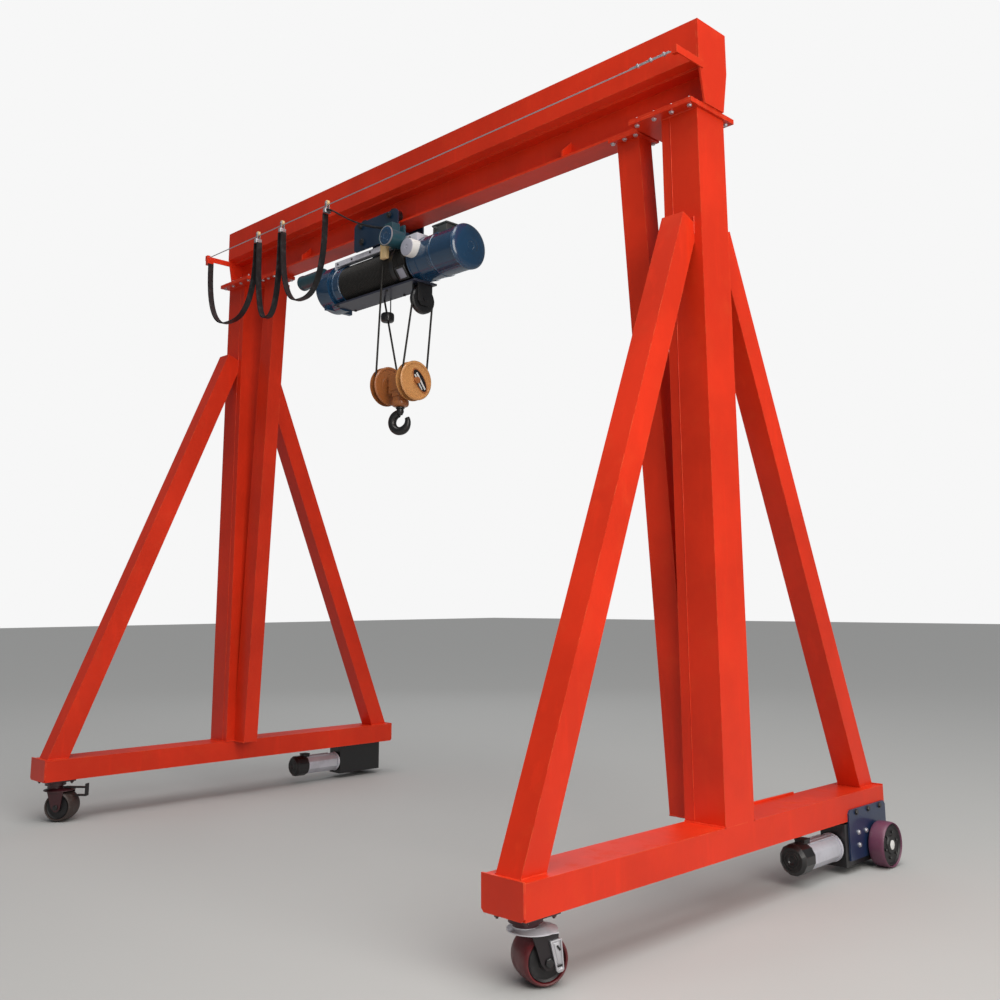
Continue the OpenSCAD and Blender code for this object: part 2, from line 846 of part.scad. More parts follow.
module trolley_side_plates() {
  x0 = hoist_x - trolley_len / 2;
  x1 = hoist_x + trolley_len / 2;
  z0 = trolley_plate_z0;
  z1 = trolley_plate_z1;
  cut = 20;
  outline = [
    [x0, z0 + cut], [x0, z1 - cut], [x0 + cut, z1], [x1 - cut, z1],
    [x1, z1 - cut], [x1, z0 + cut], [x1 - cut, z0], [x0 + cut, z0]
  ];
  color(hoist_blue) for (s = [-1, 1]) scale([1, s, 1]) difference() {
    slab_xz(outline, trolley_plate_y0, trolley_plate_y1);
    for (x = [-1, 1]) {
      cyl_y(hoist_x + x * trolley_axles / 2, trolley_plate_y0 - 1, trolley_plate_y1 + 1,
            trolley_axle_z, 14);
      cyl_y(hoist_x + x * tie_x, trolley_plate_y0 - 1, trolley_plate_y1 + 1, tie_z, tie_r);
    }
  }
}

module trolley_wheels() {
  color(black) for (s = [-1, 1], x = [-1, 1]) scale([1, s, 1]) {
    wx = hoist_x + x * trolley_axles / 2;
    cyl_y(wx, rail_w / 2 - 42, rail_w / 2 + 3, trolley_axle_z, trolley_wheel_r);
    cyl_y(wx, rail_w / 2 + 3, rail_w / 2 + 11, trolley_axle_z, trolley_wheel_r + 8);
    cyl_y(wx, rail_w / 2 + 11, trolley_plate_y1 + 14, trolley_axle_z, 14);
  }
}

// Tie bars between the side plates, with the lugs that carry the hoist
module trolley_ties() {
  color(hoist_blue) for (x = [-1, 1]) {
    cyl_y(hoist_x + x * tie_x, -trolley_plate_y1 - 12, trolley_plate_y1 + 12, tie_z, tie_r);
    difference() {
      box_x(hoist_x + x * tie_x - 30, hoist_x + x * tie_x + 30, -8, 48,
            hoist_z + drum_r * 0.6, tie_z + tie_r + 14);
      cyl_x(drum_x0 - 1, drum_x1 + 1, 0, hoist_z, drum_r + seat / 2);
      cyl_y(hoist_x + x * tie_x, -9, 49, tie_z, tie_r - 0.5);
    }
  }
}

// Travel motor beside the near side plate, with its mounting box and the small box for the cable
module travel_motor() {
  x = travel_x;
  z = travel_z;
  y1 = -trolley_plate_y1;
  color(hoist_blue) {
    cyl_y(x, y1 - 140, y1 - 17, z, travel_r);
    cyl_y(x, y1 - 154, y1 - 140, z, travel_r + 6);
    box_x(x - 95, x + 44, y1 - 18, y1, z - 40, tie_z);
    box_x(lead_box[0], lead_box[0] + 80, lead_box[1] - 36, lead_box[1] + 36, z, lead_box[2] + 34);
  }
}

module rope_drum() {
  color(black) difference() {
    cyl_x(drum_x0, drum_x1, 0, hoist_z, drum_r);
    cyl_x(drum_x0 - 1, drum_x1 + 1, 0, hoist_z, drum_r - drum_wall);
  }
}

// Stepped gearbox housing at the drum's left end, with its flat foot
module hoist_gearbox() {
  x0 = drum_x0 - gear_len;
  color(hoist_blue) {
    cyl_x(x0 + 44, drum_x0, 0, hoist_z, gear_r);
    cyl_x(x0 + 20, x0 + 45, 0, hoist_z, gear_r - 12);
    cyl_x(x0, x0 + 21, 0, hoist_z, gear_r - 32);
    box_x(drum_x0 - 110, drum_x0 - 75, -120, 120, hoist_z - 178, hoist_z - 100);
  }
}

// Small round motor on the gearbox
module creep_motor() {
  x1 = drum_x0 - gear_len;
  y = -96;
  z = hoist_z + 115;
  color(hoist_blue) difference() {
    union() {
      cyl_x(x1 - creep_len + 16, x1 + 20, y, z, 57);
      cyl_x(x1 - creep_len, x1 - creep_len + 17, y, z, 61);
      cyl_x(x1 - 16, x1 + 20, y, z, 61);
    }
    cyl_x(x1, x1 + 22, 0, hoist_z, gear_r - 32);
  }
}

module hoist_end_housing() {
  color(hoist_blue) difference() {
    cyl_x(drum_x1, motor_x0, 0, hoist_z, flange_r);
    cyl_x(drum_x1 - 1, motor_x0 + 1, 0, hoist_z, flange_r - housing_wall);
  }
}

// Pale round cap on the near side of the housing
module hoist_cap() {
  color(cream) difference() {
    cyl_y(motor_x0 - cap_back, -cap_reach, 0, hoist_z + 42, 66);
    cyl_x(drum_x1, motor_x0, 0, hoist_z, flange_r + seat / 2);
  }
}

module hoist_motor() {
  color(hoist_blue) translate([motor_x0, 0, hoist_z]) rotate([0, 90, 0]) rotate_extrude($fn = 96)
    polygon(concat(
      [[0, 0], [motor_r, 0], [motor_r, motor_len]],
      [for (t = [10:10:80]) [motor_r * (0.4 + 0.6 * cos(t)), motor_len + dome_len * sin(t)]],
      [[0, motor_len + dome_len]]));
}

module hoist_terminal_box() {
  color(black) difference() {
    box_x(motor_x0 - 60, motor_x0 + 90, -60, 60, hoist_z + motor_r * 0.7, hoist_z + motor_r + 52);
    cyl_x(motor_x0, motor_x1, 0, hoist_z, motor_r);
    cyl_x(drum_x1, motor_x0 + 1, 0, hoist_z, flange_r);
  }
}

// Channel bar over the drum, from the gearbox to the end housing
module hoist_top_bar() {
  top = bar_z + bar_h;
  outline = [
    [bar_y0, bar_z], [bar_y0 + bar_t, bar_z], [bar_y0 + bar_t, top - bar_t], [bar_y1, top - bar_t],
    [bar_y1, top], [bar_y0, top]
  ];
  foot = 60;
  color(silver) difference() {
    union() {
      slab_yz(outline, drum_x0, drum_x1 + foot);
      box_x(drum_x0, drum_x0 + bar_t, bar_y0, bar_y1, bar_z - 20, top - 1);
      box_x(drum_x1, drum_x1 + foot, bar_y0, bar_y1, hoist_z + 60, top - 1);
    }
    cyl_x(drum_x0 - 1, drum_x1, 0, hoist_z, drum_r + 1);
    cyl_x(drum_x1, motor_x0, 0, hoist_z, flange_r);
  }
}

// Flat plate under the drum, from the gearbox to the end housing, which sits in it
module hoist_bottom_plate() {
  color(hoist_blue) difference() {
    box_x(drum_x0, drum_x1 + 45, plate_y0, plate_y1, plate_z, plate_z + plate_t);
    cyl_x(drum_x1, motor_x0 + 1, 0, hoist_z, flange_r);
  }
}

// Limit switch on a bracket from the flat bar
module limit_switch() {
  x = hoist_x + 165;
  half = 34;
  z1 = bar_z + 18;
  color(cream) {
    box_x(x - half, x + half, bar_y0 - 41, bar_y0, z1 - bar_t, z1);
    box_x(x - half, x + half, bar_y0 - 76, bar_y0 - 40, z1 - 122, z1);
  }
}

module upper_sheave() {
  h = top_sheave_w / 2;
  cheek = h + 8;
  color(black) {
    translate([top_sheave_x, 0, top_sheave_z]) rotate([0, 90, 0])
      spool(top_sheave_r, top_cover_r, top_sheave_w, top_groove_w, 12);
    cyl_x(top_sheave_x - cheek - 6, top_sheave_x + cheek + 6, 0, top_sheave_z, 11.8);
    for (s = [-1, 1])
      box_x(top_sheave_x + s * cheek - 6, top_sheave_x + s * cheek + 6, -40, 40,
            top_sheave_z - 34, plate_z);
  }
}

// A grooved sheave with its covers, centred on the Z axis
module spool(core, rim, width, groove, bore) {
  g = groove / 2;
  h = width / 2;
  c = min(8, h - g);
  rotate_extrude($fn = 96) polygon([
    [bore, -h], [rim - c, -h], [rim, -h + c], [rim, -g], [core, -g],
    [core, g], [rim, g], [rim, h - c], [rim - c, h], [bore, h]
  ]);
}

// Point where a line from a point touches a circle, on the side given by the sign
function touch(from, centre, r, side) =
  let (
    d = from - centre,
    a = atan2(d[1], d[0]) - side * acos(r / norm(d))
  )
  centre + r * [cos(a), sin(a)];

// A straight rope between two points
module rope(a, b) {
  d = b - a;
  translate(a) rotate([0, atan2(norm([d[0], d[1]]), d[2]), atan2(d[1], d[0])])
    cylinder(h = norm(d), r = rope_r, $fn = 24);
}

module hoist_ropes() {
  color(black) for (i = [0:3]) rope(falls_high[i], falls_low[i]);
}

// Weight on the anchored fall that lifts the limit switch
module rope_limit_weight() {
  x = weight_at[0];
  y = weight_at[1];
  half = 32;
  color(black) difference() {
    union() {
      cyl_z(x, y, weight_z - half, weight_z + half, 50);
      cyl_z(x, y + 28, weight_z, plate_z, 4);
    }
    cyl_z(x, y, weight_z - half - 1, weight_z + half + 1, rope_r + 11);
  }
}

module block_sheaves() {
  color(gold) for (x = [left_x, right_x])
    translate([x, 0, block_z]) rotate([0, 90, 0]) spool(sheave_r, cover_r, sheave_w, groove_w, block_axle_r);
}

// Crosshead on the block's axle, with the nut that carries the hook
module block_crosshead() {
  h = cross_w / 2;
  z0 = block_z - cross_h / 2;
  color(gold) {
    difference() {
      union() {
        cyl_x(left_x - sheave_w / 2 - 16, right_x + sheave_w / 2 + 16, 0, block_z, block_axle_r - seat);
        box_x(block_x - h, block_x + h, -58, 58, z0, block_z + cross_h / 2);
        cyl_z(block_x, 0, z0 - nut_h, z0 + 1, nut_r);
      }
      cyl_z(block_x, 0, z0 - nut_h - 1, z0 + 20, shank_r + pin_gap);
    }
  }
}

module lifting_hook() {
  top = block_z - cross_h / 2 + 18;
  color(black) translate([block_x, 0, 0]) {
    translate([0, 0, hook_z]) rotate([90, 0, hook_turn]) rotate([0, 0, 100])
      rotate_extrude(angle = 285, $fn = 64) translate([hook_r, 0]) circle(r = hook_t, $fn = 32);
    translate([0, 0, hook_z + hook_r]) cylinder(h = top - hook_z - hook_r, r = shank_r, $fn = 64);
  }
}

girder_box();
girder_rail();
girder_end_plates();
trolley_stops();
girder_joint_plates();
leg_joint_plates();
column_right();
column_left();
strut_right();
strut_left();
base_beam_right();
base_beam_left();
beam_end_plates();
brace_right_near();
brace_right_far();
brace_left_near();
brace_left_far();
caster_plates();
drive_side_plates();
drive_gearboxes();
drive_motors();
drive_fan_covers();
wire_arms();
guide_wire();
cable_loops();
caster_fork_right();
caster_fork_left();
caster_brake_right();
caster_brake_left();
caster_wheel_right();
caster_wheel_left();
drive_wheel_right();
drive_wheel_left();
cable_hanger_outer();
cable_hanger_inner();
cable_hanger_towed();
hoist_lead();
trolley_side_plates();
trolley_wheels();
trolley_ties();
travel_motor();
rope_drum();
hoist_gearbox();
creep_motor();
hoist_end_housing();
hoist_cap();
hoist_motor();
hoist_terminal_box();
hoist_top_bar();
hoist_bottom_plate();
limit_switch();
upper_sheave();
hoist_ropes();
rope_limit_weight();
block_sheaves();
block_crosshead();
lifting_hook();
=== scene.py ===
import json
import math

import bmesh
import bpy
from mathutils import Matrix, Vector


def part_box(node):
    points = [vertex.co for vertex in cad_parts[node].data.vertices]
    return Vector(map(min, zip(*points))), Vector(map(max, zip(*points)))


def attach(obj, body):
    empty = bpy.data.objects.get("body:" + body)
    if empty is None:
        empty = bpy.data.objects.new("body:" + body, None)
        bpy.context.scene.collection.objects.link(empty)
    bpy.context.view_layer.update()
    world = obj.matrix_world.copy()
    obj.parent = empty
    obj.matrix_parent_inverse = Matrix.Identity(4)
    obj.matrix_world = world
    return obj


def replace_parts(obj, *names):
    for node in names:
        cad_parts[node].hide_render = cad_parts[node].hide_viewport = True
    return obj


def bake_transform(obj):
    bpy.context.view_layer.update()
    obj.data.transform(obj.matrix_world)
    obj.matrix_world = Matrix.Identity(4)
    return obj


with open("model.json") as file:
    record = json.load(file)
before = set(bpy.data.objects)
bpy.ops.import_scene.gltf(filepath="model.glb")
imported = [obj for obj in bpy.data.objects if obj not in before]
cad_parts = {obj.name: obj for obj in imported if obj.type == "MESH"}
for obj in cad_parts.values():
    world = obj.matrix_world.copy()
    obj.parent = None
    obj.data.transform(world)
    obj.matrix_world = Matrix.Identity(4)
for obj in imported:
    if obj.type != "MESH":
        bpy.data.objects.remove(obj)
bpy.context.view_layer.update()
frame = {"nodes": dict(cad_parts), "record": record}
nodes = frame["nodes"]

X, Y, Z = Vector((1, 0, 0)), Vector((0, 1, 0)), Vector((0, 0, 1))


def low(node):
    return Vector(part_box(node)[0])


def high(node):
    return Vector(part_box(node)[1])


def corners(node):
    return low(node), high(node)


def middle(node):
    return (low(node) + high(node)) / 2


# Camera at the photograph's place
turn, tilt, roll = math.radians(44.975), math.radians(10.191), math.radians(-0.2531)
eye = Vector((5.4756, -4.7166, 1.5257))
ahead = Vector((-math.sin(turn) * math.cos(tilt), math.cos(turn) * math.cos(tilt), math.sin(tilt)))
level = Vector((math.cos(turn), math.sin(turn), 0))
upright = level.cross(ahead)
right = level * math.cos(roll) + upright * math.sin(roll)
above = upright * math.cos(roll) - level * math.sin(roll)
camera_data = bpy.data.cameras.new("camera")
camera_data.sensor_width = 36
camera_data.lens = 37.8
camera_data.shift_y = -0.0891
camera_data.clip_end = 200
camera = bpy.data.objects.new("camera", camera_data)
bpy.context.collection.objects.link(camera)
camera.matrix_world = Matrix([(right[i], above[i], -ahead[i], eye[i]) for i in range(3)] + [(0, 0, 0, 1)])
bpy.context.scene.camera = camera
bpy.context.scene.view_settings.view_transform = "Standard"


# Shader sums

class Signal:
    """A shader socket that takes part in Python sums."""

    def __init__(self, finish, socket):
        self.finish = finish
        self.socket = socket

    def sum(self, operation, *values):
        return self.finish.node("ShaderNodeMath", {"operation": operation}, dict(enumerate(values)))


for sign, operation in (("add", "ADD"), ("sub", "SUBTRACT"), ("mul", "MULTIPLY")):
    setattr(Signal, "__%s__" % sign, lambda self, other, does=operation: self.sum(does, self, other))
    setattr(Signal, "__r%s__" % sign, lambda self, other, does=operation: self.sum(does, other, self))


class Finish:
    """A material whose shader is built up node by node."""

    def __init__(self, name):
        self.material = bpy.data.materials.new(name)
        self.material.use_nodes = True
        self.tree = self.material.node_tree
        self.shader = self.tree.nodes["Principled BSDF"]
        self.place = self.node("ShaderNodeTexCoord", output="Object")

    def node(self, kind, settings=None, values=None, output=0):
        made = self.tree.nodes.new(kind)
        for key, value in (settings or {}).items():
            setattr(made, key, value)
        for key, value in (values or {}).items():
            if isinstance(value, Signal):
                self.tree.links.new(value.socket, made.inputs[key])
            else:
                made.inputs[key].default_value = value
        return Signal(self, made.outputs[output])

    def noise(self, scale, detail=4, roughness=0.55, place=None):
        return self.node("ShaderNodeTexNoise", {}, {
            "Vector": place or self.place, "Scale": scale, "Detail": detail, "Roughness": roughness})

    def stretched(self, x, y, z):
        return self.node("ShaderNodeMapping", {}, {"Vector": self.place, "Scale": (x, y, z)})

    def along(self, axis):
        return self.node("ShaderNodeSeparateXYZ", {}, {"Vector": self.place}, output=axis)

    def facing(self, axis):
        """How far the surface faces along an axis, from -1 to 1."""
        normal = self.node("ShaderNodeNewGeometry", output="Normal")
        return self.node("ShaderNodeSeparateXYZ", {}, {"Vector": normal}, output=axis)

    def step(self, value, low, high):
        return self.node("ShaderNodeMapRange", {"interpolation_type": "SMOOTHSTEP"}, {
            "Value": value, "From Min": low, "From Max": high})

    def mix(self, mask, first, second):
        settings = {"data_type": "RGBA", "blend_type": "MIX"}
        values = {0: mask, 6: first if isinstance(first, Signal) else (*first, 1),
                  7: second if isinstance(second, Signal) else (*second, 1)}
        return self.node("ShaderNodeMix", settings, values, output=2)

    def edges(self, width):
        """1 on the edges of a piece and 0 on its faces; gloss paint lightens these edges for wear and as painted
        highlight.
        """
        bevel = self.node("ShaderNodeBevel", {"samples": 4}, {"Radius": width})
        flat = self.node("ShaderNodeNewGeometry", output="Normal")
        match = self.node("ShaderNodeVectorMath", {"operation": "DOT_PRODUCT"}, {0: bevel, 1: flat},
                          output="Value")
        return self.step(match, 0.995, 0.90)

    def bump(self, height, distance, strength=1.0):
        return self.node("ShaderNodeBump", {}, {
            "Height": height, "Distance": distance, "Strength": strength})

    def shade(self, **values):
        for key, value in values.items():
            socket = self.shader.inputs[key.replace("_", " ")]
            if isinstance(value, Signal):
                self.tree.links.new(value.socket, socket)
            elif hasattr(socket.default_value, "__len__") and len(value) == 3:
                socket.default_value = (*value, 1)
            else:
                socket.default_value = value
        return self.material


def scaled(colour, factor):
    return tuple(min(1.0, c * factor) for c in colour)


# Finishes

def gloss_paint(name, colour, dusty, rough=0.24, coat=0.4, dust_share=0.25, chip_and_highlight=None, sheen=0.5):
    """Brushed-on gloss paint with slow shade changes, dust on what faces up, and edges lightened partly for wear
    and partly as painted highlight.
    """
    f = Finish(name)
    cloud = f.noise(1.4, 5)
    peel = f.noise(80, 2)
    brushed = f.noise(14, 3, place=f.stretched(1, 1, 0.12))
    dust = f.step(f.noise(7, 6, 0.65), 0.50, 0.80) * (0.4 + 0.6 * f.step(f.facing("Z"), 0.2, 0.9))
    # Edge mask: worn paint, and also a painted highlight where edges catch the light
    worn_and_highlit_edges = f.edges(0.006) * f.step(f.noise(22, 4), 0.40, 0.62)
    base = f.mix(f.step(cloud, 0.35, 0.7), scaled(colour, 0.80), colour)
    base = f.mix(f.step(brushed, 0.55, 0.75) * 0.20, base, scaled(colour, 1.25))
    base = f.mix(dust * dust_share, base, dusty)
    base = f.mix(worn_and_highlit_edges * 0.6, base, chip_and_highlight or scaled(dusty, 1.2))
    return f.shade(
        Base_Color=base,
        Roughness=rough + 0.10 * cloud + 0.25 * dust + 0.15 * worn_and_highlit_edges,
        Specular_IOR_Level=sheen,
        Coat_Weight=coat,
        Coat_Roughness=0.10,
        Normal=f.bump(peel + 2.0 * cloud + brushed, 0.0006, 0.6))


def bare_steel(name, colour, rough=0.32, metallic=0.85):
    """Zinc-plated or brushed steel with dull stains."""
    f = Finish(name)
    grain = f.noise(60, 4, place=f.stretched(1, 1, 0.08))
    stain = f.step(f.noise(9, 5), 0.45, 0.75)
    base = f.mix(stain * 0.4, colour, scaled(colour, 0.6))
    return f.shade(
        Base_Color=base,
        Metallic=metallic,
        Roughness=rough + 0.2 * grain + 0.1 * stain,
        Normal=f.bump(grain, 0.0004, 0.5))


def moulded(name, colour, rough=0.5, speck=0.5):
    """Rubber or hard plastic, scuffed pale in places."""
    f = Finish(name)
    scuff = f.step(f.noise(26, 5), 0.5, 0.72)
    fine = f.noise(220, 3)
    base = f.mix(scuff * speck, colour, tuple(0.6 * c + 0.05 for c in colour))
    return f.shade(
        Base_Color=base,
        Roughness=rough + 0.15 * scuff,
        Normal=f.bump(fine + scuff, 0.0004, 0.5))


def wire_rope(name, colour):
    """Greased strands that run round the rope on a slant."""
    f = Finish(name)
    strands = (160 * f.along("X") + 160 * f.along("Y") + 110 * f.along("Z")).sum("SINE")
    grease = f.noise(18, 4)
    base = f.mix(f.step(strands, -0.6, 0.8), scaled(colour, 0.4), colour)
    return f.shade(
        Base_Color=base,
        Metallic=0.4,
        Roughness=0.38 + 0.25 * grease,
        Normal=f.bump(strands, 0.0015, 0.8))


def caster_fork_finish(name, painted, head, plated, low_z, high_z):
    """Dark painted fork whose dished pan is zinc-plated, under a swivel head in the plate's colour."""
    f = Finish(name)
    height = f.along("Z")
    pan = f.step(height, low_z, low_z + 0.001) * (1 - f.step(height, high_z, high_z + 0.001))
    grain = f.noise(40, 4)
    stain = f.step(f.noise(16, 5), 0.45, 0.7)
    base = f.mix(f.step(height, high_z, high_z + 0.001), painted, head)
    base = f.mix(pan, base, f.mix(stain * 0.5, plated, scaled(plated, 0.6)))
    return f.shade(
        Base_Color=base,
        Metallic=0.35 * pan,
        Roughness=0.42 - 0.12 * pan + 0.12 * grain,
        Normal=f.bump(grain, 0.0005, 0.5))


def gilt_cover(name, colour, shade):
    """Worn golden enamel on the sheave covers, with painted shade on the rim that does not face along X, and darker
    where hands rub it.
    """
    f = Finish(name)
    cloud = f.step(f.noise(9, 5), 0.35, 0.7)
    spot = f.step(f.noise(30, 4), 0.58, 0.72)
    # Painted shade: faces along X keep the enamel colour, the rim takes the darker shade colour
    face = f.step(f.facing("X").sum("ABSOLUTE"), 0.4, 0.9)
    base = f.mix(face, shade, f.mix(cloud, scaled(colour, 0.82), colour))
    base = f.mix(spot * 0.5, base, scaled(shade, 0.4))
    return f.shade(
        Base_Color=base,
        Roughness=0.30 + 0.2 * cloud + 0.15 * spot,
        Coat_Weight=0.3,
        Coat_Roughness=0.15,
        Normal=f.bump(cloud + f.noise(90, 2), 0.0006, 0.5))


finishes = {
    "orange_paint": gloss_paint("orange_gloss_paint", (0.74, 0.034, 0.008), (0.80, 0.14, 0.020), rough=0.34,
                                coat=0.07, dust_share=0.2, chip_and_highlight=(0.80, 0.14, 0.05), sheen=0.25),
    "navy_paint": gloss_paint("navy_paint", (0.012, 0.027, 0.080), (0.07, 0.08, 0.12), 0.30, 0.4),
    "maroon_paint": gloss_paint("maroon_paint", (0.050, 0.008, 0.012), (0.09, 0.05, 0.05), 0.35, 0.3),
    # Trolley plates: teal-navy paint, darkened further as painted shade because the plates are little lit
    "navy_darkened_for_shade": gloss_paint("trolley_navy_with_painted_shade", (0.006, 0.026, 0.060), (0.05, 0.08, 0.11), 0.25, 0.4),
    "blue_paint": gloss_paint("hoist_blue_paint", (0.007, 0.050, 0.120), (0.05, 0.11, 0.16), rough=0.16,
                              coat=0.9, dust_share=0.15, chip_and_highlight=(0.16, 0.24, 0.34)),
    "teal_paint": gloss_paint("teal_paint", (0.018, 0.075, 0.10), (0.07, 0.12, 0.14), 0.3, 0.4),
    "slate_paint": gloss_paint("slate_paint", (0.030, 0.034, 0.060), (0.09, 0.09, 0.11), 0.35, 0.3),
    "black_paint": gloss_paint("black_paint", (0.009, 0.009, 0.010), (0.05, 0.045, 0.04), 0.32, 0.3),
    "grey_paint": gloss_paint("grey_paint", (0.065, 0.075, 0.075), (0.14, 0.14, 0.13), 0.4, 0.2),
    # Second colour: painted shade for the rim
    "bronze_paint": gilt_cover("golden_enamel", (0.98, 0.74, 0.36), (0.60, 0.25, 0.070)),
    # Painted shade: the golden enamel darkened to brown, for the left cover and its centre, the crosshead and the
    # slot's rim, which lie in shade
    "shaded_golden_enamel": gilt_cover("shaded_golden_enamel", (0.72, 0.30, 0.085), (0.36, 0.115, 0.032)),
    "bright_steel": bare_steel("bright_steel", (0.60, 0.60, 0.63)),
    "lilac_steel": bare_steel("pale_lilac_steel", (0.78, 0.77, 0.84), 0.38, 0.2),
    "motor_alloy": bare_steel("motor_alloy", (0.62, 0.62, 0.68), 0.34, 0.35),
    "rope_steel": wire_rope("greased_rope", (0.022, 0.020, 0.018)),
    "cable_rubber": moulded("cable_rubber", (0.008, 0.008, 0.009), 0.45),
    "wheel_tread": moulded("wheel_tread", (0.115, 0.012, 0.015), 0.34, 0.25),
    "worn_tread": moulded("worn_tread", (0.045, 0.030, 0.026), 0.5, 0.5),
    "drive_tread": moulded("drive_tread", (0.135, 0.042, 0.080), 0.40, 0.3),
    "wheel_core": moulded("wheel_core", (0.008, 0.007, 0.008), 0.45, 0.3),
    "cream_plastic": moulded("cream_plastic", (0.80, 0.58, 0.30), 0.45),
    "pale_plastic": moulded("pale_plastic", (0.72, 0.72, 0.70), 0.4, 0.2),
    "lilac_plastic": moulded("lilac_plastic", (0.40, 0.40, 0.47), 0.45, 0.3),
}
wheel_top = high("caster_wheel_right").z
finishes["fork_paint"] = caster_fork_finish(
    "fork_paint", painted=(0.012, 0.008, 0.010), head=(0.055, 0.008, 0.014), plated=(0.62, 0.61, 0.65),
    low_z=wheel_top + 0.0005, high_z=wheel_top + 0.0195)

slots = {part["node"]: part["material_slot"] for part in frame["record"]["subparts"]}
own_finish = {
    "caster_fork_right": "fork_paint", "caster_fork_left": "maroon_paint",
    "hoist_top_bar": "lilac_steel", "hoist_bottom_plate": "slate_paint",
    "trolley_side_plates": "navy_darkened_for_shade", "travel_motor": "teal_paint", "creep_motor": "teal_paint",
    "hoist_terminal_box": "grey_paint", "drive_gearboxes": "black_paint",
    "caster_brake_left": "wheel_core",
}
for name, piece in nodes.items():
    for slot in piece.material_slots:
        slot.material = finishes[own_finish.get(name, slots[name])]


# Modelling

def start(add, **settings):
    """A new primitive, alone in the selection."""
    bpy.ops.object.select_all(action="DESELECT")
    add(**settings)
    return bpy.context.active_object


def pick_only(piece):
    bpy.ops.object.select_all(action="DESELECT")
    piece.select_set(True)
    bpy.context.view_layer.objects.active = piece
    return piece


class Editing:
    """Edit mode on one piece, which the block leaves at its end."""

    def __init__(self, piece):
        self.piece = pick_only(piece)

    def __enter__(self):
        bpy.ops.object.mode_set(mode="EDIT")
        bpy.ops.mesh.select_mode(type="FACE")
        return self

    def __exit__(self, *problem):
        bpy.ops.mesh.select_all(action="SELECT")
        bpy.ops.mesh.normals_make_consistent(inside=False)
        bpy.ops.object.mode_set(mode="OBJECT")

    def pick(self, wanted):
        """Selects the faces that the test wants."""
        mesh = bmesh.from_edit_mesh(self.piece.data)
        for face in mesh.faces:
            face.select_set(False)
        for face in mesh.faces:
            if wanted(face):
                face.select_set(True)
        mesh.select_flush_mode()
        bmesh.update_edit_mesh(self.piece.data)


def extrude(y=0, z=0):
    bpy.ops.mesh.extrude_region_move(TRANSFORM_OT_translate={"value": (0, y, z)})


def settle(piece):
    """Puts the piece's place and turn into its mesh."""
    pick_only(piece)
    bpy.ops.object.transform_apply(location=True, rotation=True, scale=True)
    return piece


def carried(piece, matrix):
    """Moves, turns or scales the piece's mesh by a matrix."""
    piece.matrix_world = matrix
    return settle(piece)


def mended(piece):
    """The piece with its faces turned outward again, after a matrix that mirrors."""
    with Editing(piece):
        return piece


def rounded(piece, width, segments=2):
    pick_only(piece)
    bevel = piece.modifiers.new("bevel", "BEVEL")
    bevel.width = width
    bevel.segments = segments
    bevel.limit_method = "ANGLE"
    bevel.angle_limit = math.radians(40)
    bpy.ops.object.modifier_apply(modifier="bevel")
    return piece


def mirrored(rings, middle=()):
    """Rings from one face inward, those in the middle, and the first ones again to the other face."""
    return rings + list(middle) + [(-place, radius) for place, radius in reversed(rings)]


def turned(rings, sides=48):
    """A solid of (place along Z, radius) rings, extruded and scaled from one ring to the next."""
    place, radius = rings[0]
    piece = start(bpy.ops.mesh.primitive_circle_add, vertices=sides, radius=radius,
                  location=(0, 0, place), fill_type="NGON")
    with Editing(piece):
        bpy.ops.mesh.select_all(action="SELECT")
        for next_place, next_radius in rings[1:]:
            extrude(z=next_place - place)
            factor = next_radius / radius
            bpy.ops.transform.resize(value=(factor, factor, 1), center_override=(0, 0, next_place))
            place, radius = next_place, next_radius
    return settle(piece)


def block(lowest, highest, edge=0.003):
    """A box between two corners with rounded edges."""
    size = Vector(highest) - Vector(lowest)
    piece = start(bpy.ops.mesh.primitive_cube_add, size=1, location=(Vector(highest) + Vector(lowest)) / 2)
    piece.scale = size
    settle(piece)
    return rounded(piece, edge) if edge else piece


def lay(piece, at, axis=Z, spin=0.0):
    """Turns the piece's Z axis to the given axis and carries it to its place."""
    axis = Vector(axis).normalized()
    facing = Z.rotation_difference(axis).to_matrix().to_4x4()
    return carried(piece, Matrix.Translation(at) @ facing @ Matrix.Rotation(spin, 4, "Z"))


def copy_of(piece):
    twin = piece.copy()
    twin.data = piece.data.copy()
    bpy.context.collection.objects.link(twin)
    return twin


def joined(parts):
    """Several meshes made one piece."""
    bpy.ops.object.select_all(action="DESELECT")
    for part in parts:
        part.select_set(True)
    bpy.context.view_layer.objects.active = parts[0]
    if len(parts) > 1:
        bpy.ops.object.join()
    return parts[0]


def with_twin(piece):
    """The piece and its mirror image on the other side of the crane, as one."""
    return joined([piece, mended(carried(copy_of(piece), Matrix.Scale(-1, 4, X)))])


def circle(centre, radius, count, first=0, across=Y):
    """Places evenly round a circle, the first one some degrees from one direction toward Z."""
    angles = [math.radians(360 / count * i + first) for i in range(count)]
    return [centre + radius * math.cos(a) * across + radius * math.sin(a) * Z for a in angles]


def repeated(piece, places, axis=Z):
    """Copies of one piece at several places, as one."""
    made = [lay(copy_of(piece), place, axis) for place in places]
    bpy.data.objects.remove(piece)
    return joined(made)


def finished(piece, name, finish, smooth=35):
    """Names, smooths and finishes a piece."""
    piece.name = name
    pick_only(piece)
    bpy.ops.object.shade_smooth_by_angle(angle=math.radians(smooth))
    piece.data.materials.clear()
    piece.data.materials.append(finishes[finish])
    return piece


def dress(piece, name, body, finish, smooth=35, instead_of=None):
    """Finishes a piece and fixes it to its body."""
    finished(piece, name, finish, smooth)
    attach(piece, body)
    if instead_of:
        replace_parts(piece, instead_of)
    return piece


# Hanging flat cable: three loops under the wire and the last stretch to the hoist

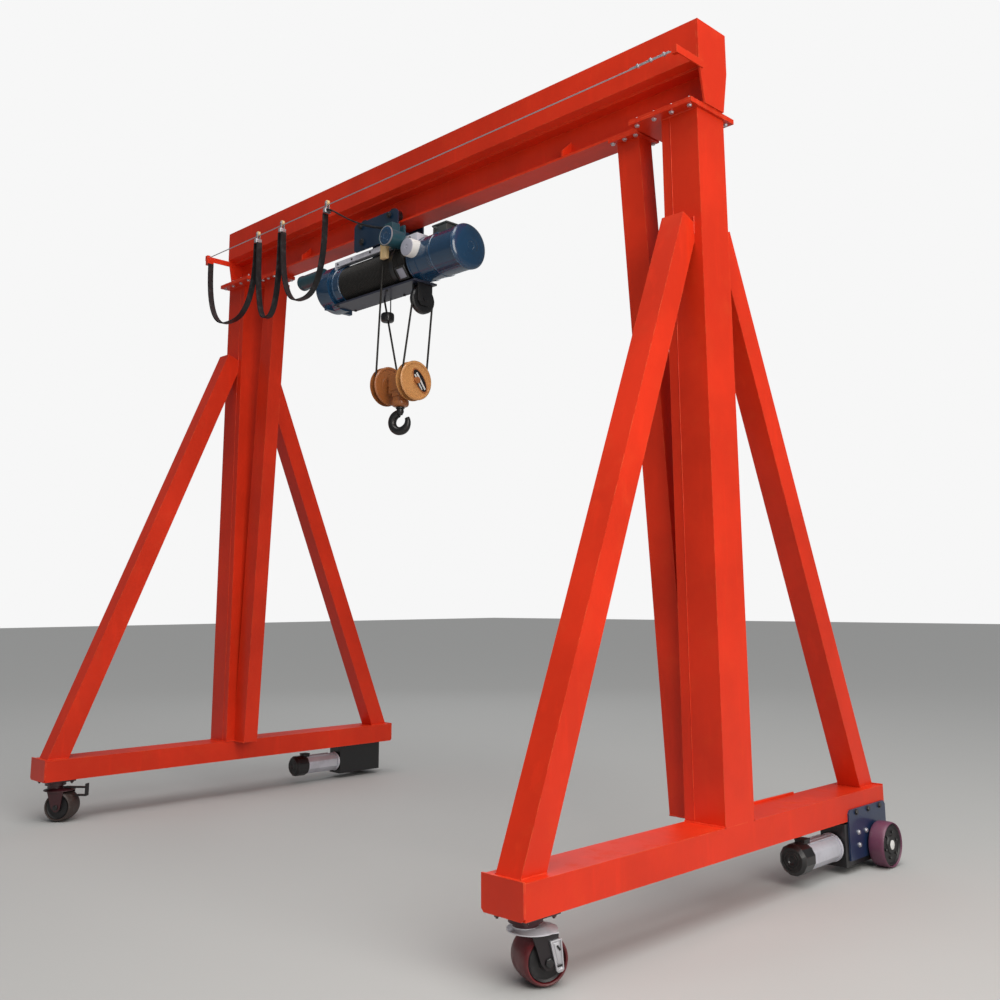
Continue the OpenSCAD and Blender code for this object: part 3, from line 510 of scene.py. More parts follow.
wire_y = middle("guide_wire").y
wire_z = middle("guide_wire").z
cable_w, cable_t = 0.050, 0.010
clamp_half = 0.0153
foot_z = low("cable_hanger_towed").z
anchor_x = low("girder_end_plates").x + 0.045
stations = [anchor_x] + [middle("cable_hanger_" + name).x for name in ("outer", "inner", "towed")]
depths = [0.590, 0.660, 0.610]
loop_steps, lead_steps = 36, 32
side_power, foot_power = 0.75, 0.8


def swept_outline(path, outline, sideways):
    """An outline carried along a path; sideways gives its first direction for each way the path points."""
    mesh = bmesh.new()
    rings = []
    for i, point in enumerate(path):
        way = (path[min(i + 1, len(path) - 1)] - path[max(i - 1, 0)]).normalized()
        side = sideways(way)
        normal = way.cross(side).normalized()
        rings.append([mesh.verts.new(point + a * side + b * normal) for a, b in outline])
    for one, two in zip(rings, rings[1:]):
        for k in range(len(outline)):
            n = (k + 1) % len(outline)
            mesh.faces.new((one[k], one[n], two[n], two[k]))
    mesh.faces.new(rings[0])
    mesh.faces.new(list(reversed(rings[-1])))
    bmesh.ops.recalc_face_normals(mesh, faces=mesh.faces)
    data = bpy.data.meshes.new("swept")
    mesh.to_mesh(data)
    mesh.free()
    piece = bpy.data.objects.new("swept", data)
    bpy.context.collection.objects.link(piece)
    return piece


def flat_cable(path, width, thickness):
    """A flat cable with round edges that follows a path, standing across the path's turns."""
    across, through = width / 2, thickness / 2
    edge = [(across - 0.3 * through, -through), (across, -0.35 * through),
            (across, 0.35 * through), (across - 0.3 * through, through)]
    outline = edge + [(-a, -b) for a, b in edge]
    return swept_outline(path, outline, lambda way: Vector((-way.y, way.x, 0)).normalized()
                         if abs(way.y) > 0.02 else Y.copy())


def swept(path, radius):
    """A ten-sided rope along a path that lies near a plane across X."""
    angles = [math.pi * i / 5 for i in range(10)]
    outline = [(radius * math.cos(a), radius * math.sin(a)) for a in angles]
    return swept_outline(path, outline, lambda way: (X - way.x * way).normalized())


def loop_path(x0, x1, depth):
    """Centreline of one hanging loop, in the middle of its CAD solid."""
    half = (x1 - x0) / 2 - cable_t / 2
    points = []
    for i in range(loop_steps + 1):
        angle = math.pi * i / loop_steps
        along = math.copysign(abs(math.cos(angle)) ** side_power, math.cos(angle))
        down = (depth - cable_t / 2) * abs(math.sin(angle)) ** foot_power
        points.append(Vector(((x0 + x1) / 2 - half * along, wire_y, foot_z - down)))
    return points


for i, depth in enumerate(depths):
    path = loop_path(stations[i] + clamp_half, stations[i + 1] - clamp_half, depth)
    loop = flat_cable(path, cable_w, cable_t)
    finished(loop, "hanging_loop_%d" % (i + 1), "cable_rubber", smooth=50)
    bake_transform(loop)
    if i == 0:
        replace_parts(loop, "cable_loops")

lead_low, lead_high = corners("hoist_lead")
lead_from = Vector((stations[3] + clamp_half, wire_y, lead_high.z - cable_t / 2))
lead_to = Vector((lead_high.x, lead_high.y - cable_w / 2, lead_low.z + cable_t / 2))
shares = [0, 0.1, 0.22, 0.4, 0.6, 0.8, 0.93, 1]
drops = [0, 0.1, 0.28, 0.52, 0.74, 0.9, 0.98, 1]


def smooth_drop(share):
    """How far the cable has come down at a share of its way, between the listed places."""
    last = len(shares) - 1
    k = max(i for i in range(last) if shares[i] <= share)
    gap = shares[k + 1] - shares[k]
    t = (share - shares[k]) / gap
    beside = [(max(j - 1, 0), min(j + 1, last)) for j in (k, k + 1)]
    slope = [(drops[after] - drops[before]) / (shares[after] - shares[before]) for before, after in beside]
    return ((2 * t ** 3 - 3 * t ** 2 + 1) * drops[k] + (t ** 3 - 2 * t ** 2 + t) * gap * slope[0]
            + (3 * t ** 2 - 2 * t ** 3) * drops[k + 1] + (t ** 3 - t ** 2) * gap * slope[1])


path = []
for i in range(lead_steps + 1):
    share = i / lead_steps
    point = lead_from.lerp(lead_to, share)
    point.z = lead_from.z + smooth_drop(share) * (lead_to.z - lead_from.z)
    path.append(point)
lead = dress(flat_cable(path, cable_w, cable_t), "cable_lead", "hoist", "cable_rubber", smooth=50,
             instead_of="hoist_lead")


# Wheels

def wheel_profile(half, radius, crown, core):
    """Rings of a wheel with a rounded tread: narrow at both faces and full in the middle."""
    recess, wall = 0.024, 0.002
    rim = [(-half + 2 * half * share, radius - crown * drop)
           for share, drop in ((0, 1), (0.04, 0.55), (0.14, 0.22), (0.32, 0.03))]
    return mirrored([(-half + recess, core), (-half + wall, core + 0.004)] + rim, [(0, radius)])


beam_mid_x = middle("base_beam_right").x
caster_y = middle("caster_plates").y
caster_half = 0.078
caster_radius = high("caster_wheel_right").z / 2
caster_trail = 0.060
caster_turns = {"right": math.radians(-22), "left": math.radians(-51)}


def caster_place(side):
    """The pivot of a caster, the way its axle points and the way its wheel trails."""
    sign = 1 if side == "right" else -1
    angle = caster_turns[side]
    pivot = Vector((sign * beam_mid_x, caster_y, 0))
    axle = Vector((math.cos(angle), math.sin(angle), 0))
    trail = Vector((-math.sin(angle), math.cos(angle), 0))
    return pivot, axle, trail


def caster_wheel(side):
    pivot, axle, trail = caster_place(side)
    hub = pivot + caster_trail * trail + caster_radius * Z
    body = "caster_%s_wheel" % side
    tread = turned(wheel_profile(caster_half, caster_radius, crown=0.013, core=0.080), 96)
    dress(lay(tread, hub, axle), "caster_tyre_" + side, body, "wheel_tread" if side == "right" else "worn_tread",
          instead_of="caster_wheel_" + side)
    face = caster_half - 0.006
    core = turned(mirrored([(-face, 0.020), (-face, 0.034), (-face + 0.005, 0.036), (-face + 0.008, 0.071),
                            (-face + 0.003, 0.0795)]), 64)
    dress(lay(core, hub, axle), "caster_core_" + side, body, "wheel_core")
    nuts = []
    for sign in (-1, 1):
        nut = rounded(turned([(0, 0.019), (0.012, 0.019), (0.0135, 0.016)], 6), 0.001)
        nuts.append(lay(nut, hub + sign * (caster_half + 0.0135) * axle, sign * axle))
    dress(joined(nuts), "caster_nuts_" + side, "caster_" + side, "black_paint")


for side in ("right", "left"):
    caster_wheel(side)


def side_lever():
    """Pressed steel brake lever with raised edges, a slot near its foot and a rounded end."""
    axle, trail = caster_place("right")[1:]
    lowest, highest = corners("caster_brake_right")
    lever = block((-0.026, -0.0065, 0), (0.026, 0.0065, highest.z - lowest.z), edge=0)
    with Editing(lever) as hand:
        hand.pick(lambda face: face.normal.z < -0.9)
        bpy.ops.transform.resize(value=(0.66, 1, 1), center_override=(0, 0, 0))
        extrude(z=-0.008)
        bpy.ops.transform.resize(value=(0.55, 0.8, 1), center_override=(0, 0, 0))
        hand.pick(lambda face: face.normal.y < -0.9 and face.calc_center_median().z > 0)
        bpy.ops.mesh.inset(thickness=0.006)
        extrude(y=0.006)
        bpy.ops.mesh.inset(thickness=0.008)
        extrude(y=-0.004)
    centre = (lowest + highest) / 2
    upright_at = Matrix((
        (-trail.x, -axle.x, 0, centre.x),
        (-trail.y, -axle.y, 0, centre.y),
        (0, 0, 1, lowest.z + 0.004),
        (0, 0, 0, 1)))
    place = upright_at @ Matrix.Translation((-0.011, 0, 0)) @ Matrix.Rotation(math.radians(9), 4, "Y")
    dress(mended(carried(rounded(lever, 0.0015), place)), "caster_side_lever", "caster_right", "bright_steel",
          instead_of="caster_brake_right")
    slot = block((-0.011, -0.001, -0.004), (0.011, 0.001, 0.004), 0.0008)
    mark = carried(block((-0.004, -0.001, -0.012), (0.004, 0.001, 0.012), 0.0008),
                   Matrix.Translation((-0.006, 0, 0.066)) @ Matrix.Rotation(0.5, 4, "Y"))
    marks = mended(carried(joined([slot, mark]), place @ Matrix.Translation((0, -0.0075, 0.018))))
    dress(marks, "lever_slots", "caster_right", "wheel_core")


side_lever()

# Drive wheels: rounded tread, black face with a ring of bolts and a small blank disc at the hub
drive_low, drive_high = corners("drive_wheel_right")
drive_centre = (drive_low + drive_high) / 2
drive_radius = (drive_high.z - drive_low.z) / 2
face = (drive_high.x - drive_low.x) / 2
for side, sign in (("right", 1), ("left", -1)):
    centre = Vector((sign * drive_centre.x, drive_centre.y, drive_centre.z))
    body = "drive_%s_wheel" % side
    tread = turned(wheel_profile(face, drive_radius, crown=0.007, core=0.112), 96)
    dress(lay(tread, centre, sign * X), "drive_tyre_" + side, body, "drive_tread",
          instead_of="drive_wheel_" + side)
    core = turned([(-face + 0.008, 0.030), (-face + 0.008, 0.1115), (face - 0.008, 0.1115),
                   (face - 0.006, 0.104), (face - 0.014, 0.097), (face - 0.014, 0.052),
                   (face - 0.006, 0.047), (face - 0.006, 0.020)], 64)
    dress(lay(core, centre, sign * X), "drive_core_" + side, body, "wheel_core")
    stud = rounded(turned([(0, 0.0085), (0.008, 0.0085), (0.009, 0.007)], 6), 0.0008)
    studs = repeated(stud, circle(centre + sign * (face - 0.015) * X, 0.070, 6, 15), sign * X)
    dress(studs, "drive_studs_" + side, body, "black_paint")
    disc = turned([(-0.002, 0.026), (0.0, 0.026), (0.001, 0.024)], 32)
    dress(lay(disc, centre + sign * (face - 0.003) * X, sign * X), "drive_hub_disc_" + side, body,
          "pale_plastic")


# Drive units

def drive_motor():
    """Eight-sided cast body between two round flanges, with three ribs along its top."""
    lowest, highest = corners("drive_motors")
    length = highest.y - lowest.y
    half = (highest.z - lowest.z) / 2
    corner = half / math.cos(math.radians(22.5))
    x = highest.x - half
    z = (lowest.z + highest.z) / 2
    body = turned([(0, 0.066), (0.004, corner), (length - 0.030, corner), (length - 0.026, corner * 0.94)], 8)
    lay(rounded(body, 0.003), (x, lowest.y, z), Y, math.radians(22.5))
    front = turned([(0, 0.064), (0, 0.076), (0.012, 0.078), (0.014, 0.074)], 40)
    lay(front, (x, highest.y - 0.027, z), Y)
    neck = turned([(0, 0.060), (0.014, 0.066)], 40)
    lay(neck, (x, highest.y - 0.0142, z), Y)
    ribs = [block((x + half * (0.5 * i - 0.55), lowest.y + 0.02, z + half - 0.002),
                  (x + half * (0.5 * i - 0.45), highest.y - 0.06, z + half + 0.004), 0.001) for i in range(3)]
    return joined([body, front, neck] + ribs)


dress(with_twin(drive_motor()), "drive_motor_bodies", "frame", "motor_alloy", 25,
      instead_of="drive_motors")


def fan_cover():
    """Bevelled black cover with ring-shaped air slots in its end, and the small box above it."""
    lowest, highest = corners("drive_fan_covers")
    motor_low, motor_high = corners("drive_motors")
    radius = (motor_high.z + motor_low.z) / 2 - lowest.z
    x = highest.x - radius
    z = lowest.z + radius
    length = motor_low.y - lowest.y
    lid_top = motor_high.z + 0.028
    rings = [(0.006, 0.018), (0.0, 0.024), (0.0, 0.030), (0.004, 0.032), (0.004, 0.038), (0.0, 0.040),
             (0.0, 0.046), (0.004, 0.048), (0.004, 0.054), (0.0, 0.056), (0.0, radius - 0.018),
             (0.016, radius), (length - 0.012, radius), (length - 0.010, radius - 0.004),
             (length, radius - 0.004)]
    cover = lay(turned(rings, 12), (x, lowest.y, z), Y, math.radians(15))
    box = block((x - 0.030, motor_low.y - 0.030, motor_high.z),
                (x + 0.030, motor_low.y + 0.030, lid_top - 0.008), 0.002)
    lid = block((x - 0.032, motor_low.y - 0.032, lid_top - 0.009), (x + 0.032, motor_low.y + 0.032, lid_top), 0.002)
    return joined([cover, box, lid])


dress(with_twin(fan_cover()), "drive_fan_shells", "frame", "black_paint", smooth=25,
      instead_of="drive_fan_covers")


# Bolts

def hex_bolt(size, height):
    """A hexagon head on its washer, seated on the plane that it is laid on."""
    washer = turned([(-0.0005, size * 1.15), (size * 0.18, size * 1.15), (size * 0.22, size * 1.08)], 20)
    head = turned([(size * 0.2, size), (height - size * 0.12, size), (height, size * 0.86)], 6)
    return joined([head, washer])


def hex_nut(size, height):
    """A nut with the bolt's end standing out of it."""
    nut = hex_bolt(size, height)
    end = turned([(height * 0.5, size * 0.5), (height * 1.5, size * 0.5), (height * 1.6, size * 0.42)], 14)
    return joined([nut, end])


plate_low, plate_top = low("leg_joint_plates").z, high("girder_joint_plates").z
outer_x1 = high("leg_joint_plates").x
joint_len = 0.430
outer_x0 = outer_x1 - joint_len
column_bolts = [(x, y) for x in (outer_x0 + 0.035, outer_x0 + 0.155, outer_x0 + 0.275, outer_x1 - 0.035)
                for y in (-0.176, 0.176)]
strut_x0 = low("strut_right").x - 0.034
strut_bolts = [(strut_x0 + along, y) for along in (0.022, 0.110, 0.190) for y in (-0.084, 0.084)]
heads = repeated(hex_bolt(0.013, 0.011), [(x, y, plate_low) for x, y in column_bolts + strut_bolts], -Z)
nuts = repeated(hex_nut(0.013, 0.013), [(x, y, plate_top) for x, y in column_bolts], Z)
dress(with_twin(joined([heads, nuts])), "girder_joint_bolts", "frame", "bright_steel")

corner = 0.082
spots = [(beam_mid_x + sx * corner, caster_y + sy * corner, low("caster_plates").z)
         for sx in (-1, 1) for sy in (-1, 1)]
dress(with_twin(repeated(hex_nut(0.012, 0.011), spots, -Z)), "caster_plate_bolts", "frame", "maroon_paint")

side_face = high("drive_side_plates").x
for name, size, height, spots, finish in (
        ("drive_plate_top_bolts", 0.014, 0.011, [(1.181, 0.322), (1.325, 0.322), (1.469, 0.322)], "black_paint"),
        ("drive_plate_low_bolts", 0.012, 0.010, [(1.198, 0.211), (1.288, 0.209), (1.201, 0.142)], "bright_steel")):
    bolts = repeated(hex_bolt(size, height), [(side_face, y, z) for y, z in spots], X)
    dress(with_twin(bolts), name, "frame", finish)


# Welds and the strip on the right beam

def weld(begin, end, radius=0.004):
    """A low bead of weld between two points, thicker and thinner along its way."""
    begin, end = Vector(begin), Vector(end)
    length = (end - begin).length
    count = max(3, min(60, int(length / 0.02)))
    rings = [(length * i / count, radius * (1.0 + 0.18 * math.sin(2.4 * i) + 0.12 * math.sin(5.1 * i)))
             for i in range(count + 1)]
    return lay(turned(rings, 8), begin, end - begin)


col_low, col_high = corners("column_right")
beam_low = low("base_beam_right")
beam_top = high("base_beam_right").z
seam_x = col_low.x + 0.058
beads = []
for y in (col_low.y, col_high.y):
    for z, radius in ((beam_top, 0.006), (col_high.z, 0.005)):
        beads.append(weld((col_low.x, y, z), (col_high.x, y, z), radius))
beads.append(weld((col_low.x, col_low.y, beam_top), (col_low.x, col_high.y, beam_top), 0.005))
beads.append(weld((seam_x, col_low.y, beam_top + 0.01), (seam_x, col_low.y, col_high.z), 0.0022))
half_brace = (high("brace_right_near").x - low("brace_right_near").x) / 2
for node, y_side in (("brace_right_near", -1), ("brace_right_far", 1)):
    top = high(node).z
    wall = y_side * col_high.y
    foot = y_side * max(abs(low(node).y), abs(high(node).y))
    for x in (beam_mid_x - half_brace, beam_mid_x + half_brace):
        beads.append(weld((x, wall, top - 0.10), (x, wall, top - 0.004), 0.005))
        beads.append(weld((x, foot, beam_top), (x, foot - y_side * 0.155, beam_top), 0.005))
strut_y = high("strut_right").y
strut_foot = (2.050, 2.195)
for y in (-strut_y, strut_y):
    beads.append(weld((strut_foot[0], y, beam_top), (strut_foot[1], y, beam_top), 0.004))
dress(with_twin(joined(beads)), "weld_beads", "frame", "orange_paint", smooth=60)

strip_from, strip_to = 0.490, 0.920
strip = block((beam_low.x - 0.001, strip_from, beam_top - 0.004), (beam_low.x + 0.012, strip_to, beam_top + 0.012))
dress(strip, "beam_edge_strip", "frame", "orange_paint")


# Hoist: drum with its rope, guide and window

drum_low, drum_high = corners("rope_drum")
hoist_z = (drum_low.z + drum_high.z) / 2
drum_radius = (drum_high.z - drum_low.z) / 2
drum_len = drum_high.x - drum_low.x
rope_r = 0.0075
core_r = drum_radius - 2 * rope_r
axis_at = hoist_z * Z
guide_x, window_x = -0.210, -0.085
window_turn = math.radians(36)

core = turned([(0, drum_radius), (0.012, drum_radius), (0.014, core_r), (drum_len - 0.014, core_r),
               (drum_len - 0.012, drum_radius), (drum_len, drum_radius)], 72)
dress(lay(core, axis_at + drum_low.x * X, X), "drum_core", "hoist", "black_paint", instead_of="rope_drum")


def rope_winding(first, last, radius):
    """Rope laid round the drum side by side: one ring swept along the axis with a screw."""
    pitch, steps_per_turn = 2.04 * rope_r, 28
    turns = int((last - first) / pitch)
    piece = start(bpy.ops.mesh.primitive_circle_add, vertices=8, radius=rope_r, location=(0, 0, radius),
                  rotation=(math.pi / 2, 0, 0))
    settle(piece)
    screw = piece.modifiers.new("winding", "SCREW")
    screw.axis = "X"
    screw.angle = 2 * math.pi * turns
    screw.screw_offset = turns * pitch
    screw.steps = screw.render_steps = turns * steps_per_turn
    bpy.ops.object.modifier_apply(modifier="winding")
    with Editing(piece):
        bpy.ops.mesh.select_all(action="SELECT")
        bpy.ops.mesh.fill_holes(sides=0)
    return lay(piece, axis_at + first * X)


dress(rope_winding(drum_low.x + 0.022, drum_high.x - 0.026, core_r + rope_r), "drum_rope", "hoist",
      "rope_steel", smooth=60)

guide = turned([(0, core_r), (0, drum_radius + 0.002), (0.003, drum_radius + 0.0045),
                (0.037, drum_radius + 0.0045), (0.040, drum_radius + 0.002), (0.040, core_r)], 72)
dress(lay(guide, axis_at + guide_x * X, X), "rope_guide_ring", "hoist", "black_paint")

window = block((-0.052, -0.012, -0.052), (0.052, 0.012, 0.052), 0.005)
with Editing(window) as hand:
    hand.pick(lambda face: face.normal.y < -0.95 and face.calc_area() > 0.004)
    bpy.ops.mesh.inset(thickness=0.010)
    extrude(y=0.005)
panel = block((-0.041, -0.0085, -0.041), (0.041, -0.005, 0.041))
window_at = (Matrix.Translation(axis_at + window_x * X) @ Matrix.Rotation(window_turn, 4, "X")
             @ Matrix.Translation((0, -drum_radius - 0.006, 0)))
dress(carried(window, window_at), "rope_guide_frame", "hoist", "black_paint")
dress(carried(panel, window_at), "rope_guide_panel", "hoist", "lilac_plastic")

# Blue rings of the gearbox on the drum's first turns
steps = turned([(0, drum_radius - 0.004), (0, drum_radius + 0.010), (0.030, drum_radius + 0.010),
                (0.034, drum_radius + 0.005), (0.100, drum_radius + 0.005), (0.104, drum_radius - 0.004)], 72)
dress(lay(steps, axis_at + drum_low.x * X, X), "gearbox_rings", "hoist", "blue_paint")

# Gearbox, housing and motors

gear_face = axis_at + (low("hoist_gearbox").x + 0.0205) * X
dress(repeated(hex_bolt(0.007, 0.008), circle(gear_face, 0.160, 12, 15), -X), "gearbox_bolts", "hoist",
      "bright_steel")

house_low, house_high = corners("hoist_end_housing")
house_r = (house_high.z - house_low.z) / 2
rims = []
for x, wide in ((house_low.x, 0.014), (house_high.x - 0.014, 0.014), (house_low.x + 0.080, 0.006)):
    rim = turned([(0, house_r - 0.004), (0, house_r + 0.003), (wide, house_r + 0.003), (wide, house_r - 0.004)], 72)
    rims.append(lay(rim, axis_at + x * X, X))
dress(joined(rims), "housing_rims", "hoist", "blue_paint")

motor_low, motor_high = corners("hoist_motor")
motor_r = (motor_high.z - motor_low.z) / 2
shell_len = motor_high.x - motor_low.x
dome_len = 0.030
barrel = shell_len - dome_len
flange = [(0, motor_r - 0.006), (0, motor_r - 0.001), (0.004, motor_r), (0.016, motor_r), (0.020, motor_r - 0.004),
          (barrel - 0.012, motor_r - 0.004), (barrel - 0.010, motor_r), (barrel - 0.001, motor_r),
          (barrel, motor_r - 0.003)]
dome = [(barrel + (dome_len - 0.003) * math.sin(a), (motor_r - 0.003) * (0.42 + 0.58 * math.cos(a)))
        for a in (math.radians(7.5 * i) for i in range(1, 12))]
hub = [(shell_len - 0.002, 0.058), (shell_len, 0.054), (shell_len, 0.030), (shell_len - 0.003, 0.028)]
shell = turned(flange + dome + hub, 96)
dress(lay(shell, axis_at + motor_low.x * X, X), "motor_shell", "hoist", "blue_paint", instead_of="hoist_motor")

box_low, box_high = corners("hoist_terminal_box")
box = block((box_low.x, box_low.y, hoist_z + 0.10), (box_high.x, box_high.y, box_high.z - 0.012), 0.016)
lid = block((box_low.x - 0.003, box_low.y - 0.003, box_high.z - 0.014),
            (box_high.x + 0.003, box_high.y + 0.003, box_high.z), 0.005)
gland = lay(turned([(-0.004, 0.013), (0.010, 0.013), (0.012, 0.010), (0.026, 0.010), (0.028, 0.008)], 6),
            (box_low.x + 0.045, box_low.y + 0.002, box_high.z - 0.032), -Y)
dress(joined([box, lid, gland]), "motor_box", "hoist", "grey_paint",
      instead_of="hoist_terminal_box")

cap_low, cap_high = corners("hoist_cap")
cap_r = (cap_high.x - cap_low.x) / 2
cap_at = Vector(((cap_low.x + cap_high.x) / 2, cap_high.y, (cap_low.z + cap_high.z) / 2))
cap_len = cap_high.y - cap_low.y
cap = turned([(-0.01, cap_r), (cap_len - 0.010, cap_r), (cap_len - 0.006, cap_r - 0.002),
              (cap_len - 0.006, cap_r - 0.008)], 56)
dress(lay(cap, cap_at, -Y), "cap_barrel", "hoist", "pale_plastic", instead_of="hoist_cap")
lid = turned([(cap_len - 0.007, cap_r - 0.004), (cap_len - 0.001, cap_r - 0.004), (cap_len, cap_r - 0.008),
              (cap_len, 0.016), (cap_len - 0.003, 0.014), (cap_len - 0.003, 0.008), (cap_len, 0.006)], 56)
dress(lay(lid, cap_at, -Y), "cap_lid", "hoist", "lilac_plastic")

switch_low, switch_high = corners("limit_switch")
body = block(switch_low, (switch_high.x, switch_low.y + 0.036, switch_high.z), 0.009)
with Editing(body) as hand:
    hand.pick(lambda face: face.normal.y < -0.95)
    bpy.ops.mesh.inset(thickness=0.007)
    extrude(y=0.003)
arm = block((switch_low.x + 0.006, switch_low.y + 0.034, switch_high.z - 0.012),
            (switch_high.x - 0.006, switch_high.y, switch_high.z), 0.002)
prong = block((switch_high.x - 0.012, switch_low.y + 0.006, switch_high.z - 0.020),
              (switch_high.x + 0.046, switch_low.y + 0.020, switch_high.z - 0.006), 0.004)
dress(joined([body, arm, prong]), "rope_limit_box", "hoist", "cream_plastic", instead_of="limit_switch")

side_low, side_high = corners("trolley_side_plates")
travel_face = Vector((middle("travel_motor").x + 0.0255, low("travel_motor").y, side_low.z - 0.044))
# Painted highlight: a thin bright ring stands for the light caught on the travel motor's near rim
ring = turned([(-0.004, 0.066), (-0.004, 0.0705), (0.000, 0.0712), (0.003, 0.0705), (0.004, 0.067),
               (0.002, 0.064)], 48)
dress(lay(ring, travel_face + 0.0005 * Y, -Y), "travel_motor_highlight_ring", "hoist", "bright_steel")
face = turned([(0.000, 0.0645), (0.0035, 0.0635), (0.005, 0.054), (0.005, 0.026), (0.002, 0.022)], 48)
studs = repeated(hex_bolt(0.005, 0.005), circle(travel_face - 0.0045 * Y, 0.046, 6, across=X), -Y)
dress(joined([lay(face, travel_face, -Y), studs]), "travel_motor_face", "hoist", "blue_paint")

bar_low, bar_high = corners("hoist_top_bar")
spots = [(bar_low.x + share * (bar_high.x - bar_low.x), bar_low.y, bar_high.z - 0.020)
         for share in (0.04, 0.22, 0.45, 0.68, 0.92)]
dress(repeated(hex_bolt(0.007, 0.007), spots, -Y), "top_bar_bolts", "hoist", "black_paint")

tray_low, tray_high = corners("hoist_bottom_plate")
spots = [(x, y, tray_low.z) for x in (tray_low.x + 0.03, -0.30) for y in (tray_low.y + 0.022, tray_high.y - 0.022)]
dress(repeated(hex_bolt(0.010, 0.009), spots, -Z), "bottom_plate_bolts", "hoist", "black_paint")


def upper_cover():
    """Drop-shaped cover round the upper sheave, pinched where it meets the plate."""
    lowest, highest = corners("upper_sheave")
    centre_x = (lowest.x + highest.x) / 2
    radius = (highest.y - lowest.y) / 2
    centre_z = lowest.z + radius
    half = 0.021
    cover = turned(mirrored([(-half, radius - 0.010), (-half + 0.008, radius)]), 48)
    lay(cover, (centre_x, 0, centre_z), X)
    rise = highest.z - centre_z
    for point in cover.data.vertices:
        up = (point.co.z - centre_z) / radius
        if up > 0:
            point.co.y *= 1 - 0.10 * up
            point.co.z = centre_z + min(rise, up * radius * 1.02)
    cheeks = []
    for side in (-1, 1):
        x = centre_x + side * 0.029
        cheek = block((x - 0.006, -0.066, centre_z - 0.02), (x + 0.006, 0.066, highest.z), 0.002)
        with Editing(cheek) as hand:
            hand.pick(lambda face: face.normal.z < -0.95)
            extrude(z=-0.030)
            bpy.ops.transform.resize(value=(1, 0.55, 1), center_override=(x, 0, centre_z))
        cheeks.append(cheek)
    pin = lay(turned(mirrored([(-0.041, 0.012), (-0.041, 0.020), (-0.036, 0.021)]), 6), (centre_x, 0, centre_z), X)
    return joined([cover, pin] + cheeks)


dress(upper_cover(), "upper_sheave_cover", "hoist", "black_paint", instead_of="upper_sheave")

weight_low, weight_high = corners("rope_limit_weight")
weight_r = (weight_high.x - weight_low.x) / 2
weight_at = middle("rope_limit_weight")
weight_at.z = weight_low.z + 0.032
rod_len = weight_high.z - weight_at.z
weight = turned(mirrored([(-0.036, 0.030), (-0.034, 0.040), (-0.026, weight_r - 0.002), (-0.012, weight_r)]), 40)
rod = turned([(0, 0.004), (0.02, 0.0045), (rod_len - 0.004, 0.0045), (rod_len, 0.004)], 12)
dress(joined([lay(weight, weight_at), lay(rod, weight_at + 0.028 * Y)]), "rope_weight", "hoist", "black_paint",
      instead_of="rope_limit_weight")

# Nuts of the trolley's axles and tie bars
trolley_x = (side_low.x + side_high.x) / 2
axle_y, tie_y = high("trolley_wheels").y, high("trolley_ties").y
axle_z, tie_z = middle("trolley_wheels").z, side_low.z + 0.060
nuts = []
for sign in (-1, 1):
    for size, reach, y, z in ((0.019, 0.170, axle_y, axle_z), (0.022, 0.150, tie_y, tie_z)):
        spots = [(x, sign * (y - 0.002), z) for x in (trolley_x - reach, trolley_x + reach)]
        nuts.append(repeated(hex_bolt(size, 0.012), spots, sign * Y))
dress(joined(nuts), "trolley_nuts", "hoist", "black_paint")


# Hook block

sheave_low, sheave_high = corners("block_sheaves")
cover_r = (sheave_high.z - sheave_low.z) / 2
block_z = (sheave_low.z + sheave_high.z) / 2
sheave_half = 0.033
groove_half = 0.024
left_x, right_x = sheave_low.x + sheave_half, sheave_high.x - sheave_half


def block_cover(name, x, finish, replaced=None):
    """A grooved sheave between two dished covers with raised rims."""
    face, lip = sheave_half, cover_r
    rings = mirrored([(-face + 0.006, 0.030), (-face + 0.006, lip - 0.022), (-face, lip - 0.018),
                      (-face, lip - 0.008), (-face + 0.006, lip), (-groove_half, lip), (-groove_half, lip - 0.037)])
    piece = lay(turned(rings, 80), (x, 0, block_z), X)
    return dress(piece, name, "hook_block", finish, instead_of=replaced)


block_cover("right_sheave_cover", right_x, "bronze_paint", "block_sheaves")
# Left cover: golden enamel darkened as painted shade
block_cover("left_sheave_cover", left_x, "shaded_golden_enamel")

slot_at = Vector((right_x + sheave_half - 0.006, 0.034, block_z + 0.002))
slot_lean = math.radians(35)


def slot_oval(name, rings, centre, finish):
    """A turned boss squeezed to an oval and leaned over on the cover's face."""
    squeeze = Matrix.Rotation(slot_lean, 4, "Z") @ Matrix.Diagonal((1.90, 0.85, 1, 1))
    dress(lay(carried(turned(rings, 40), squeeze), centre, X), name, "hook_block", finish)


# Painted shade: the dark oval stands for the shaded inside seen through the cover's slot
slot_oval("cover_slot", [(-0.001, 0.05), (0.0015, 0.05), (0.002, 0.047)], slot_at, "wheel_core")
# Slot rim: golden enamel darkened as painted shade
slot_oval("cover_slot_rim", [(-0.001, 0.053), (0.004, 0.053), (0.005, 0.050), (0.004, 0.047), (0.0012, 0.0465)],
          slot_at - 0.0006 * X, "shaded_golden_enamel")
# Pale bars in the slot: the long one is the light bar, the two short ones are painted highlights on the shaft end
# behind it
bars = []
for along, across, half_long, half_wide in ((0.006, 0.004, 0.070, 0.0070), (-0.034, -0.018, 0.026, 0.0060),
                                            (0.028, -0.021, 0.034, 0.0055)):
    bar = block((along - half_long, across - half_wide, 0), (along + half_long, across + half_wide, 0.007))
    bars.append(lay(bar, slot_at, X, slot_lean))
dress(joined(bars), "slot_bar_and_highlights", "hook_block", "pale_plastic")
